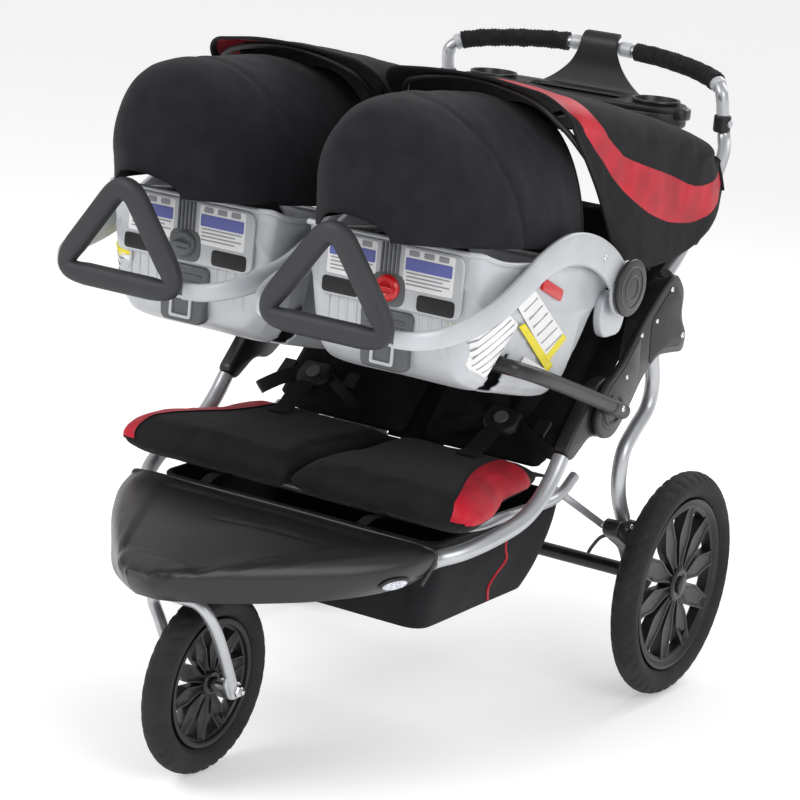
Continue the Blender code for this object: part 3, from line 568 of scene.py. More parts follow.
def flipped(points, sign):
    return [(x * sign, y, z) for x, y, z in points]


FRAME_TUBE = ((0.279, -0.3205, 0.372), (0.281, -0.300, 0.3735), (0.303, -0.264, 0.382), (0.322, -0.207, 0.396),
              (0.330, -0.137, 0.411), (0.331, -0.084, 0.434), (0.331, -0.048, 0.465), (0.331, -0.022, 0.497))
HANDLE_TUBE = ((0.3305, 0.292, 0.7605), (0.329, 0.340, 0.795), (0.321, 0.430, 0.868), (0.302, 0.520, 0.932),
               (0.286, 0.552, 0.962), (0.280, 0.551, 0.992))
HANDLEBAR = ((0.280, 0.5505, 0.9965), (0.280, 0.543, 1.022), (0.276, 0.541, 1.042), (0.255, 0.555, 1.058),
             (0.200, 0.582, 1.068), (0.120, 0.605, 1.076), (0.040, 0.614, 1.079))
REAR_LEG = tuple((0.300, y, z) for y, z in (
    (0.322, 0.650), (0.337, 0.600), (0.350, 0.556), (0.341, 0.513), (0.303, 0.482), (0.272, 0.454),
    (0.262, 0.425), (0.263, 0.390), (0.275, 0.357), (0.296, 0.324)))
SEAT_TUBE = ((0.295, 0.104, 0.434), (0.295, 0.060, 0.411), (0.295, 0.010, 0.405), (0.295, -0.130, 0.410),
             (0.292, -0.200, 0.4105), (0.270, -0.238, 0.4105), (0.230, -0.247, 0.4105), (0.080, -0.249, 0.4105))
FORK = ((0.055, -0.500, 0.139), (0.055, -0.512, 0.169), (0.055, -0.551, 0.243), (0.052, -0.580, 0.287),
        (0.038, -0.589, 0.3045), (0.018, -0.590, 0.3065))
CARRIER_BAR = ((0.3735, 0.098, 0.563), (0.3735, 0.020, 0.591), (0.3735, -0.080, 0.626), (0.3735, -0.200, 0.667),
               (0.3635, -0.248, 0.683), (0.3355, -0.270, 0.690), (0.200, -0.270, 0.690))
CANOPY_BOW = ((0.3085, 0.262, 0.768), (0.3095, 0.180, 0.828), (0.3275, 0.080, 0.900), (0.3275, -0.060, 1.000),
              (0.314, -0.128, 1.050), (0.270, -0.152, 1.081), (0.170, -0.162, 1.097), (0.075, -0.155, 1.083),
              (0.040, -0.128, 1.057), (0.0265, -0.060, 1.000), (0.0255, 0.080, 0.900), (0.0255, 0.262, 0.768))
CANOPY_HOOP = ((0.292, 0.330, 0.805), (0.292, 0.330, 0.860), (0.290, 0.330, 0.935), (0.272, 0.330, 0.978),
               (0.220, 0.330, 0.996), (0.110, 0.330, 0.996), (0.056, 0.330, 0.978), (0.038, 0.330, 0.935),
               (0.036, 0.330, 0.820))


def collar(name, start, end, radius, body, look="black_plastic"):
    """A short moulded sleeve on a tube, its ends rounded."""
    a, b = Vector(at(start)), Vector(at(end))
    along = (0, 0.03, 0.12, 0.5, 0.88, 0.97, 1)
    points = [a.lerp(b, t) for t in along]
    shape = [radius * s for s in (0.86, 0.94, 1, 1, 1, 0.94, 0.86)]
    radii = np.interp(np.linspace(0, 1, 25), along, shape)
    return pipe(name, resampled(points, 25), radii, body, look, sides=32)


def hood_points(centre, half_width, y_side, z_side, y_top, z_top, steps):
    """An arch of a carrier's hood, in the design frame."""
    found = []
    for k in range(steps + 1):
        angle = math.pi * k / steps
        rise = math.sin(angle) ** 1.1 if 0 < k < steps else 0.0
        spread = half_width * math.cos(angle)
        found.append((centre + spread, y_side + (y_top - y_side) * rise**2, z_side + (z_top - z_side) * rise))
    return found


def build_tubes():
    """The tubes and bent wires, with the sleeves, grips and ferrules on them."""
    for side, sign in SIDES:
        pipe(f"side_tube_{side}", line(flipped(FRAME_TUBE, sign)), 0.0135, "front_frame", "silver_tube",
             [f"frame_tube_{side}"], sides=36)
        pipe(f"upper_tube_{side}", line(flipped(HANDLE_TUBE, sign)), 0.0115, "handle_frame", "silver_tube",
             [f"handle_tube_{side}"], sides=36)
        pipe(f"bent_leg_{side}", line(flipped(REAR_LEG, sign)), 0.0130, "rear_legs", "silver_tube",
             [f"rear_leg_{side}"], sides=36)
        pipe(f"front_bow_{side}", line(flipped(CANOPY_BOW, sign)), 0.005, f"canopy_bow_{side}", "black_plastic",
             [f"canopy_bow_{side}"], sides=20)
        pipe(f"rear_hoop_{side}", line(flipped(CANOPY_HOOP, sign)), 0.005, "handle_frame", "black_plastic",
             [f"canopy_hoop_{side}"], sides=20)
        bow = [at(p) for p in hood_points(CARRIER_X * sign, 0.130, -0.066, 0.856, -0.190, 1.055, 48)]
        pipe(f"hood_rib_{side}", bow, 0.004, f"hood_bow_{side}", "black_plastic",
             [f"hood_bow_{side}"], sides=16)
        pipe(f"joint_post_{side}", line(flipped(HANDLEBAR[:3], sign), 10), 0.0112, "handle_frame",
             "silver_plastic", sides=36)
        collar(f"joint_collar_{side}", (0.280 * sign, 0.551, 0.972), (0.280 * sign, 0.5502, 1.002), 0.0152,
               "handle_frame")
        turned(f"joint_clip_{side}", [(0, 0), (0, 0.0065), (0.003 * sign, 0.0068), (0.0045 * sign, 0.005),
                                      (0.005 * sign, 0)], at((0.294 * sign, 0.5505, 0.988)), "handle_frame",
               "silver_plastic", steps=28)
        start = route(flipped(HANDLEBAR, sign), 8)
        collar(f"grip_ferrule_{side}", start[20], start[23], 0.0142, "handle_frame", "silver_plastic")
        held = resampled(start[23:46], 170)
        wraps = 0.0158 + 0.0007 * np.sin(np.linspace(0, 190, 170)) + 0.0004 * np.sin(np.linspace(0, 47, 170))
        pipe(f"wrapped_grip_{side}", [at(p) for p in held], wraps, "handle_frame", "foam",
             [f"foam_grip_{side}"], sides=56, wobble=0.075)
        collar(f"leg_sleeve_{side}", (0.300 * sign, 0.322, 0.655), (0.300 * sign, 0.333, 0.615), 0.0165,
               "rear_legs")
    pipe("handlebar_tube", line(both(HANDLEBAR)), 0.0105, "handle_frame", "silver_tube",
         ["handlebar"], sides=36)
    collar("bar_saddle_left", (0.062, 0.612, 1.0785), (0.036, 0.6145, 1.079), 0.0135, "handle_frame",
           "silver_plastic")
    collar("bar_saddle_right", (-0.062, 0.612, 1.0785), (-0.036, 0.6145, 1.079), 0.0135, "handle_frame",
           "silver_plastic")
    pipe("seat_frame_tube", line(both(SEAT_TUBE)), 0.009, "front_frame", "silver_tube",
         ["seat_tube"], sides=30)
    pipe("fork_tube", line(both(FORK)), 0.0095, "fork", "silver_tube", ["front_fork"], sides=36)
    pipe("carrier_bar_tube", line(both(CARRIER_BAR)), 0.0125, "carrier_bar", "gloss_black",
         ["carrier_bar"], sides=36)
    pipe("rear_axle_tube", line([(-0.2835, 0.3925, 0.2), (0, 0.3925, 0.2), (0.2835, 0.3925, 0.2)]), 0.013,
         "rear_legs", "black_tube", ["rear_axle"], sides=36)
    pipe("brake_wire", line([(0.2815, 0.350, 0.264), (0.262, 0.345, 0.272), (0.236, 0.352, 0.262),
                             (0.212, 0.370, 0.236), (0.200, 0.381, 0.2195)]), 0.0032, "rear_legs",
         "black_plastic", ["brake_cable"], sides=16)


# --- wheels ---------------------------------------------------------------------------------------
def tyre(name, x, axle, radius, tyre_r, lugs, body, replaced):
    """A pneumatic tyre with slanting leaf-shaped grooves on both shoulders and a fine line on each wall."""
    around, across = lugs * 12, 48
    ring = radius - tyre_r
    work = bmesh.new()
    rows = []
    for i in range(around):
        turn = 2 * math.pi * i / around
        row = []
        for k in range(across):
            tilt = 2 * math.pi * k / across
            lean = abs((tilt + math.pi) % (2 * math.pi) - math.pi)
            way = 1 if tilt < math.pi else -1
            leaf = math.sin(lugs * turn + way * 0.5 * math.pi + 4.2 * lean)
            edge = min(max((lean - 0.22) / 0.15, 0), 1) * min(max((1.20 - lean) / 0.15, 0), 1)
            depth = 0.0016 * min(max((leaf - 0.25) / 0.35, 0), 1) * edge
            depth += 0.0010 * (0.08 < lean < 0.16) - 0.0006 * (1.40 < lean < 1.52) - 0.0004 * (2.0 < lean < 2.1)
            reach = tyre_r - 0.0003 - depth
            out = ring + reach * math.cos(tilt)
            row.append(work.verts.new(at((x + reach * math.sin(tilt) * 0.99, axle[0] + out * math.cos(turn),
                                          axle[1] + out * math.sin(turn)))))
        rows.append(row)
    for i in range(around):
        a, b = rows[i], rows[(i + 1) % around]
        for k in range(across):
            work.faces.new((a[k], a[(k + 1) % across], b[(k + 1) % across], b[k]))
    return finish_piece(object_of(name, work), body, "tyre", [replaced], 0.9)


def blades(name, x, axle, inner, outer, count, widest, body):
    """Broad leaf-shaped spokes with a raised rib along both edges, on both faces."""
    work = bmesh.new()
    shape = ((0.0, 0.42), (0.14, 0.40), (0.32, 0.68), (0.52, 1.0), (0.60, 0.98), (0.80, 0.80), (1.0, 0.66))
    shares = np.linspace(0, 1, 25)
    widths = np.interp(shares, [s[0] for s in shape], [s[1] for s in shape]) * widest
    for n in range(count):
        turn = 2 * math.pi * (n + 0.25) / count
        ray, side = Vector((math.cos(turn), math.sin(turn))), Vector((-math.sin(turn), math.cos(turn)))
        rows = []
        for share, w in zip(shares, widths):
            deep = 0.0065 + 0.0035 * abs(2 * share - 1) ** 2
            rib, lip = deep + 0.0022, min(0.0028, w * 0.3)
            section = [(rib, -w), (rib, -w + lip), (deep, -w + 2 * lip), (deep * 0.8, 0), (deep, w - 2 * lip),
                       (rib, w - lip), (rib, w)]
            section += [(-a, b) for a, b in reversed(section)]
            middle = Vector(axle) + ray * (inner + (outer - inner) * share)
            rows.append([work.verts.new(at((x + a, *(middle + side * b)))) for a, b in section])
        total = len(rows[0])
        for a, b in zip(rows, rows[1:]):
            for k in range(total):
                work.faces.new((a[k], a[(k + 1) % total], b[(k + 1) % total], b[k]))
        work.faces.new(list(reversed(rows[0])))
        work.faces.new(rows[-1])
    return finish_piece(object_of(name, work), body, "rim_black", angle=0.5)


def dress_wheel(tag, x, way, axle, radius, tyre_r, lugs, count, widest, body):
    """One wheel's treaded tyre, rim ring, blades, hub and valve."""
    tyre(f"{tag}_treaded_tyre", x, axle, radius, tyre_r, lugs, body, f"{tag}_tyre")
    rim = radius - 2 * tyre_r - 0.0005
    h = 0.016
    profile = [(-h, rim + 0.001), (-h - 0.001, rim - 0.004), (-h + 0.001, rim - 0.007),
               (-h + 0.005, rim * 0.93), (-h + 0.0045, rim * 0.90), (-h + 0.007, rim * 0.872)]
    profile += [(-a, r) for a, r in reversed(profile)]
    turned(f"{tag}_rim_ring", profile, at((x, *axle)), body, "rim_black", [f"{tag}_rim"],
           steps=144)
    blades(f"{tag}_blades", x, axle, rim * 0.16, rim * 0.90, count, widest, body)
    hub = rim * 0.20
    profile = [(-h, 0), (-h, hub * 0.8), (-h + 0.003, hub), (h - 0.003, hub), (h, hub * 0.86), (h, hub * 0.66),
               (h - 0.002, hub * 0.62), (h - 0.002, hub * 0.52), (h + 0.004, hub * 0.50),
               (h + 0.006, hub * 0.40), (h + 0.0065, 0)]
    turned(f"{tag}_hub", [(a * way, r) for a, r in profile], at((x, *axle)), body, "gloss_black",
           steps=64)
    low = math.radians(-62 if radius > 0.16 else -58)
    ends = [(x + way * off, axle[0] + r * math.cos(low), axle[1] + r * math.sin(low))
            for off, r in ((0.004, rim * 0.88), (0.008, rim * 0.80), (0.013, rim * 0.72))]
    pipe(f"{tag}_valve", line(ends), (0.0032, 0.0032, 0.0025, 0.0030), body, "black_plastic",
         sides=16)


def build_wheels():
    for side, sign in SIDES:
        dress_wheel(f"rear_{side}", 0.362 * sign, sign, (0.3925, 0.200), 0.200, 0.024, 44, 10, 0.0195,
                    f"rear_wheel_{side}")
        foot = (0.055 * sign, -0.500, 0.149)
        ends = rounded([(-0.520, 0.180), (-0.489, 0.150), (-0.488, 0.134), (-0.512, 0.134),
                        (-0.530, 0.166)], 0.010)
        low, high = sorted((0.052 * sign, 0.058 * sign))
        slab(f"fork_end_{side}", ends, low, high, "fork", "silver_tube", edge=0.0015)
        turned(f"axle_nut_{side}", [(0, 0), (0, 0.0105), (0.008 * sign, 0.0105), (0.010 * sign, 0.0085),
                                    (0.010 * sign, 0.0045), (0.015 * sign, 0.0045), (0.016 * sign, 0.003),
                                    (0.016 * sign, 0)],
               at((0.0585 * sign, *foot[1:])), "fork", "steel", steps=6)
        turned(f"axle_washer_{side}", [(0, 0), (0, 0.014), (0.0012 * sign, 0.014), (0.0012 * sign, 0)],
               at((0.0583 * sign, *foot[1:])), "fork", "steel", steps=40)
    dress_wheel("front", 0.0, 1, (-0.500, 0.149), 0.149, 0.023, 36, 10, 0.0140, "front_wheel")


# --- brackets and small fittings ------------------------------------------------------------------
SOCKET = ((-0.034, 0.508), (-0.008, 0.487), (0.050, 0.522), (0.092, 0.512), (0.138, 0.540), (0.136, 0.592),
          (0.098, 0.617), (0.050, 0.606), (0.020, 0.566))
CHEEK = ((0.040, 0.548), (0.062, 0.518), (0.104, 0.512), (0.140, 0.540), (0.190, 0.600), (0.240, 0.632),
         (0.300, 0.628), (0.336, 0.624), (0.342, 0.656), (0.314, 0.690), (0.318, 0.734), (0.280, 0.770),
         (0.238, 0.748), (0.180, 0.702), (0.120, 0.640), (0.060, 0.604))
BLOCK = ((0.168, 0.622), (0.190, 0.602), (0.240, 0.634), (0.300, 0.630), (0.334, 0.627), (0.339, 0.656),
         (0.311, 0.689), (0.294, 0.741), (0.274, 0.7585), (0.238, 0.744), (0.180, 0.697))
WHEEL_BRACKET = ((0.286, 0.302), (0.316, 0.322), (0.346, 0.296), (0.376, 0.252), (0.416, 0.222), (0.418, 0.186),
                 (0.396, 0.172), (0.364, 0.182), (0.348, 0.220), (0.318, 0.262), (0.276, 0.286), (0.250, 0.302),
                 (0.250, 0.322), (0.270, 0.328))


def shrunk(outline, share, centre=None):
    """The outline drawn in towards its middle."""
    points = np.array(outline, float)
    middle = np.array(centre) if centre else points.mean(0)
    return [tuple(p) for p in middle + (points - middle) * share]


def build_brackets():
    for side, sign in SIDES:
        def layer(name, outline, x_from, x_to, body, look, replaced=(), edge=0.003, radius=0.02, holes=()):
            low, high = sorted((sign * x_from, sign * x_to))
            return slab(f"{name}_{side}", rounded(outline, radius), low, high, body, look,
                        replaced, edge=edge, holes=holes)
        layer("socket", SOCKET, 0.3185, 0.3435, "front_frame", "gloss_black", [f"hinge_socket_{side}"], 0.005)
        layer("cheek", CHEEK, 0.3445, 0.3568, "handle_frame", "gloss_black", [f"hinge_bracket_{side}"], 0.0035)
        layer("cheek_face", shrunk(CHEEK[:5] + CHEEK[13:], 0.80), 0.355, 0.3580, "handle_frame", "gloss_black",
              edge=0.0012, radius=0.014)
        layer("cheek_upper", shrunk(CHEEK[4:14], 0.78), 0.355, 0.3580, "handle_frame", "black_plastic",
              edge=0.0012, radius=0.014)
        layer("bracket_block", BLOCK, 0.3180, 0.3470, "handle_frame", "gloss_black", (), 0.004, 0.012)
        layer("wheel_mount", WHEEL_BRACKET, 0.284, 0.316, "rear_legs", "gloss_black", [f"wheel_bracket_{side}"],
              0.004, 0.014)
        pipe(f"wheel_spindle_{side}", [at((x * sign, 0.3925, 0.2)) for x in (0.312, 0.33, 0.36, 0.374)], 0.0080,
             "rear_legs", "steel", sides=28)
        ring = [(0.093 + 0.030 * math.cos(a), 0.563 + 0.024 * math.sin(a))
                for a in np.linspace(0, 2 * math.pi, 40)]
        pipe(f"hinge_ring_{side}", [at((0.3580 * sign, *p)) for p in ring[:-1]], 0.0030, "handle_frame",
             "gloss_black", closed=True, sides=12)
        for n, (y, z, size) in enumerate(((0.093, 0.563, 0.0075), (0.167, 0.677, 0.0042),
                                          (0.218, 0.694, 0.0042), (0.128, 0.612, 0.0042),
                                          (0.262, 0.742, 0.0045), (0.322, 0.655, 0.0050))):
            screw_head(f"cheek_screw_{n}_{side}", at((0.3576 * sign, y, z)), size, "handle_frame", way=sign)
        screw_head(f"leg_screw_{side}", at((0.3155 * sign, 0.300, 0.310)), 0.0045, "rear_legs", way=sign)
        screw_head(f"bar_bolt_{side}", at((0.3850 * sign, 0.070, 0.574)), 0.0055, "carrier_bar", way=sign)
        collar(f"bar_end_{side}", (0.3735 * sign, 0.100, 0.562), (0.3735 * sign, 0.046, 0.581), 0.0138,
               "carrier_bar", "gloss_black")
        tilt = math.atan2(0.072, 0.093)
        middle = Vector((0.385, 0.832)) + Vector((math.sin(tilt), -math.cos(tilt))) * 0.0225
        box = [middle + Vector((math.cos(tilt) * a - math.sin(tilt) * b,
                                math.sin(tilt) * a + math.cos(tilt) * b))
               for a, b in ((-0.020, -0.007), (0.020, -0.007), (0.020, 0.007), (-0.020, 0.007))]
        low, high = sorted((0.3155 * sign, 0.3355 * sign))
        slab(f"fold_release_{side}", rounded(box, 0.006), low, high, f"fold_trigger_{side}", "black_plastic",
             [f"fold_trigger_{side}"], edge=0.003)
        ends = [(0.078, 0.410), (0.261, 0.314)]
        along = (Vector(ends[1]) - Vector(ends[0])).normalized()
        across = Vector((-along.y, along.x)) * 0.0065
        outline = [Vector(ends[0]) - across - along * 0.008, Vector(ends[1]) - across + along * 0.008,
                   Vector(ends[1]) + across + along * 0.008, Vector(ends[0]) + across - along * 0.008]
        low, high = sorted((0.276 * sign, 0.280 * sign))
        slab(f"flat_link_{side}", rounded(outline, 0.006), low, high, "side_links", "silver_tube",
             [f"side_link_{side}"], edge=0.001)
        for n, (y, z) in enumerate(ends):
            screw_head(f"link_rivet_{n}_{side}", at((0.280 * sign, y, z)), 0.004, "side_links", way=sign)
    turned("steering_head", [(-0.017, 0), (-0.017, 0.0235), (-0.010, 0.0238), (0.004, 0.021), (0.008, 0.022),
                             (0.014, 0.020), (0.017, 0.0175), (0.017, 0)], at((0, -0.590, 0.3345)),
           "front_frame", "black_plastic", ["steering_collar"], axis="Z", steps=64)


# --- tray -----------------------------------------------------------------------------------------
def build_tray():
    """The parent tray: its top, well, skirt, tongue and two cup holders."""
    half = [(0.110, 0.458), (0.190, 0.470), (0.219, 0.500), (0.219, 0.540), (0.190, 0.572), (0.110, 0.580)]
    outline = rounded(half + [(-x, y) for x, y in reversed(half)], 0.03, 8)
    def disc(x, y, r):
        return [(x + r * math.cos(a), y + r * math.sin(a)) for a in np.linspace(0, 2 * math.pi, 49)[:-1]]
    well = rounded([(-0.095, 0.477), (0.095, 0.477), (0.095, 0.547), (-0.095, 0.547)], 0.016, 6)
    slab("tray_top", outline, 0.996, 1.008, "handle_frame", "black_plastic", ["parent_tray"],
         plane="xy", edge=0.004, holes=[disc(0.165, 0.516, 0.037), disc(-0.165, 0.516, 0.037), well])
    slab("tray_well_wall", shrunk(well, 1.045, (0, 0.512)), 0.985, 1.004, "handle_frame", "black_plastic",
         plane="xy", edge=0.001, holes=[well])
    slab("tray_well_floor", shrunk(well, 1.03, (0, 0.512)), 0.983, 0.9885, "handle_frame", "black_plastic",
         plane="xy", edge=0.001)
    slab("tray_skirt", outline, 0.969, 0.999, "handle_frame", "black_plastic", plane="xy",
         edge=0.006, holes=[disc(0.165, 0.516, 0.040), disc(-0.165, 0.516, 0.040),
                            rounded([(-0.118, 0.470), (0.118, 0.470), (0.118, 0.560), (-0.118, 0.560)], 0.02)])
    for side, sign in SIDES:
        cup = [(0.0, 0), (0.0, 0.029), (0.003, 0.033), (0.066, 0.0415), (0.069, 0.0430), (0.0715, 0.0425),
               (0.0715, 0.0385), (0.066, 0.0372), (0.012, 0.0310), (0.009, 0.028), (0.009, 0)]
        turned(f"cup_holder_{side}", cup, at((0.165 * sign, 0.516, 0.944)), "handle_frame", "gloss_black",
               axis="Z", steps=72)
        slab(f"cup_lobe_{side}", rounded([(0.200 * sign, 0.490), (0.229 * sign, 0.500), (0.229 * sign, 0.535),
                                          (0.200 * sign, 0.545)], 0.012), 0.985, 1.006, "handle_frame",
             "gloss_black", plane="xy", edge=0.004)
    stations = ((0.556, 0.986, 0.170, 0.012), (0.574, 0.990, 0.140, 0.012), (0.584, 1.004, 0.104, 0.010),
                (0.589, 1.022, 0.076, 0.008), (0.593, 1.045, 0.053, 0.008), (0.594, 1.070, 0.040, 0.008),
                (0.596, 1.088, 0.037, 0.008), (0.604, 1.0985, 0.036, 0.008), (0.614, 1.1010, 0.034, 0.007))
    middle = route([s[:3] for s in stations], 4)
    rings = []
    for i, (y, z, half_width) in enumerate(middle):
        ahead = Vector(middle[min(i + 1, len(middle) - 1)][:2]) - Vector(middle[max(i - 1, 0)][:2])
        off = Vector((-ahead.y, ahead.x)).normalized() * 0.004
        ring = []
        for x, k in ((1, 0.3), (0.96, 1), (0.5, 1), (0, 1), (-0.5, 1), (-0.96, 1), (-1, 0.3), (-1, -0.3),
                     (-0.96, -1), (-0.5, -1), (0, -1), (0.5, -1), (0.96, -1), (1, -0.3)):
            ring.append(at((x * half_width, y + off[0] * k, z + off[1] * k)))
        rings.append(ring)
    lofted("tray_tongue", rings, "handle_frame", "black_plastic", angle=0.9)


# --- moulded front and seats ----------------------------------------------------------------------
FOOTREST = (
    # y low, half width low, z low | y ridge, half width ridge, z ridge | z crown
    (-0.326, 0.252, 0.333, -0.326, 0.291, 0.385, 0.398),
    (-0.380, 0.240, 0.329, -0.384, 0.272, 0.374, 0.398),
    (-0.440, 0.219, 0.328, -0.444, 0.238, 0.367, 0.396),
    (-0.505, 0.188, 0.328, -0.508, 0.192, 0.366, 0.392),
    (-0.560, 0.150, 0.328, -0.565, 0.146, 0.366, 0.388),
    (-0.612, 0.104, 0.328, -0.621, 0.098, 0.366, 0.383),
    (-0.650, 0.055, 0.328, -0.676, 0.053, 0.366, 0.378),
    (-0.672, 0.018, 0.328, -0.699, 0.020, 0.366, 0.372),
)


def build_footrest():
    """The footrest's shell, its back edge, its reflectors and its straps."""
    rows = []
    for y_low, w_low, z_low, y_ridge, w_ridge, z_ridge, z_crown in FOOTREST:
        rise = z_crown - z_ridge
        half = [
            (w_low, y_low, z_low),
            (w_low * 0.35 + w_ridge * 0.65, y_low * 0.4 + y_ridge * 0.6, z_low + (z_ridge - z_low) * 0.45),
            (w_ridge, y_ridge, z_ridge),
            (w_ridge * 0.955, y_ridge, z_ridge + rise * 0.62),
            (w_ridge * 0.86, y_ridge, z_ridge + rise * 0.88),
            (w_ridge * 0.45, y_ridge, z_ridge + rise * 0.92),
            (0, y_ridge, z_crown - 0.001),
        ]
        rows.append([at(p) for p in half + [(-x, y, z) for x, y, z in reversed(half[:-1])]])
    grid = grid_through(rows, 170, 110)
    normal = grid_normals(grid)
    normal = normal * np.sign(normal[:, 85:86, 2:3])
    across = np.linspace(-1, 1, 170)[None, :]
    along = np.linspace(0, 1, 110)[:, None]
    pan = np.clip((0.62 - np.abs(across)) / 0.10, 0, 1) * np.clip((0.86 - along) / 0.08, 0, 1) \
        * np.clip((along - 0.05) / 0.05, 0, 1)
    crease = 0.0012 * np.exp(-(((along - 0.30 - 0.10 * across) / 0.018) ** 2)) * (np.abs(across + 0.2) < 0.35)
    soft = 0.0012 * ripple(grid, 7.0, 21)
    grid = grid + normal * (soft - 0.0035 * pan * pan * (3 - 2 * pan) - crease)[..., None]
    work, verts = stitched(grid)
    work.faces.new(verts[0])
    work.faces.new(verts[-1])
    obj = finish_piece(object_of("footrest_shell", work), "front_frame", "gloss_black",
                       ["footrest"], 0.9)
    thicken(obj, "wall", 0.004, 0)
    edge = [at(p) for p in route([(-0.270, -0.325, 0.334), (-0.291, -0.326, 0.385), (-0.262, -0.327, 0.3955),
                                  (-0.14, -0.328, 0.3975), (0, -0.328, 0.3985), (0.14, -0.328, 0.3975),
                                  (0.262, -0.327, 0.3955), (0.291, -0.326, 0.385), (0.270, -0.325, 0.334)], 10)]
    pipe("footrest_back_edge", edge, 0.0036, "front_frame", "gloss_black", sides=16)
    for side, sign in SIDES:
        wanted = np.array(at((0.258 * sign, -0.390, 0.350)))
        row, column = np.unravel_index(np.linalg.norm(grid - wanted, axis=2).argmin(), grid.shape[:2])
        out = Vector(grid_normals(grid)[row, column])
        if out.x * sign < 0:
            out = -out
        middle = Vector(grid[row, column]) + out * 0.002
        flat = Vector((0, 0, 1)).cross(out).normalized()
        up = out.cross(flat)
        for tag, wide, tall, deep, look in (("frame", 0.0285, 0.0150, 0.0030, "gloss_black"),
                                            ("lens", 0.0245, 0.0115, 0.0050, "reflector")):
            rings = []
            for share, lift in ((1.06, -0.010), (1.0, 0.0), (0.97, 0.6), (0.86, 0.95), (0.55, 1.0),
                                (0.05, 1.02)):
                rings.append([middle + out * (lift * deep) + flat * (wide * share * math.cos(a))
                              + up * (tall * share * math.sin(a))
                              for a in np.linspace(0, 2 * math.pi, 49)[:-1]])
            lofted(f"reflector_{tag}_{side}", rings, "front_frame", look, angle=0.9)
        strap = line([(0.150 * sign, -0.322, 0.404), (0.152 * sign, -0.300, 0.410),
                      (0.154 * sign, -0.272, 0.407), (0.155 * sign, -0.250, 0.401)])
        pipe(f"footrest_strap_{side}", strap, 0.010, "front_frame", "webbing", sides=20,
             flat=(1.0, 0.12))


def inflated(obj, cap, body, look, replaces=(), voxel=0.006, keep=None):
    """Turns a closed form into a soft cushion: an even mesh, swollen by cloth under pressure, no vertex further
    than cap from where it was; keep(point) is the share of that movement that a vertex may make."""
    bpy.context.scene.collection.objects.link(obj)
    step = obj.modifiers.new("even", "REMESH")
    step.mode = "VOXEL"
    step.voxel_size = voxel
    baked(obj)
    start = np.empty(len(obj.data.vertices) * 3)
    obj.data.vertices.foreach_get("co", start)
    start = start.reshape(-1, 3)
    cloth = obj.modifiers.new("cloth", "CLOTH")
    cloth.settings.quality = 5
    cloth.settings.mass = 0.3
    cloth.settings.use_pressure = True
    cloth.settings.uniform_pressure_force = 4.0
    cloth.settings.effector_weights.gravity = 0
    cloth.settings.tension_stiffness = 12
    cloth.settings.bending_stiffness = 0.6
    cloth.point_cache.frame_start = 1
    cloth.point_cache.frame_end = 20
    for moment in range(1, 21):
        bpy.context.scene.frame_set(moment)
    baked(obj)
    bpy.context.scene.frame_set(1)
    found = np.empty(len(obj.data.vertices) * 3)
    obj.data.vertices.foreach_get("co", found)
    moved = found.reshape(-1, 3) - start
    far = np.maximum(np.linalg.norm(moved, axis=1, keepdims=True), 1e-9)
    moved *= np.minimum(1, cap / far)
    if keep is not None:
        moved *= keep(start)[:, None]
    obj.data.vertices.foreach_set("co", (start + moved).ravel())
    obj.data.update()
    bpy.context.scene.collection.objects.unlink(obj)
    finish_piece(obj, body, look, replaces, angle=None)
    smooth = obj.modifiers.new("smooth", "SUBSURF")
    smooth.levels = smooth.render_levels = 1
    return obj


def closed_loft(name, rings):
    work, verts = stitched(rings, ring=True)
    cap_ends(work, verts)
    return object_of(name, work)


SEAT = (
    # y, outer x, z low, z high of each seat; the inner edge is at the middle
    (-0.318, 0.328, 0.430, 0.452), (-0.306, 0.338, 0.422, 0.463), (-0.280, 0.342, 0.421, 0.469),
    (-0.235, 0.338, 0.425, 0.470), (-0.185, 0.322, 0.427, 0.468), (-0.145, 0.305, 0.427, 0.465),
    (-0.090, 0.298, 0.427, 0.463), (-0.040, 0.292, 0.427, 0.461), (0.018, 0.276, 0.429, 0.457),
)


def build_seats():
    for side, sign in SIDES:
        rings = []
        for y, out, low, high in SEAT:
            soft = (high - low) * 0.40
            inner = 0.004
            section = [(inner, low + soft), (inner + soft * 0.5, low + soft * 0.25), (inner + 0.03, low),
                       (out - 0.03, low), (out - soft * 0.5, low + soft * 0.25), (out, low + soft),
                       (out, high - soft), (out - soft * 0.6, high - soft * 0.28), (out - 0.035, high + 0.001),
                       ((out + inner) / 2, high + 0.0025), (inner + 0.030, high - 0.001),
                       (inner + soft * 0.45, high - soft * 0.35), (inner, high - soft)]
            rings.append([at((x * sign, y, z)) for x, z in section])
        obj = closed_loft(f"seat_cushion_{side}", rings)
        cushion = inflated(obj, 0.007, "front_frame", "padding", ["seat_pad"], voxel=0.006,
                           keep=lambda p: np.clip(np.abs(p[:, 0]) / 0.02, 0.1, 1))
        wrap_trim(cushion, side, sign)
        build_back(side, sign)


# the trim's inner and outer edge on the seat's outer front corner, seen from above: x and y
TRIM = ((0.303, 0.345, -0.330), (0.300, 0.346, -0.300), (0.288, 0.344, -0.262), (0.270, 0.340, -0.220),
        (0.252, 0.330, -0.175), (0.233, 0.316, -0.120), (0.224, 0.303, -0.070), (0.222, 0.290, -0.020))


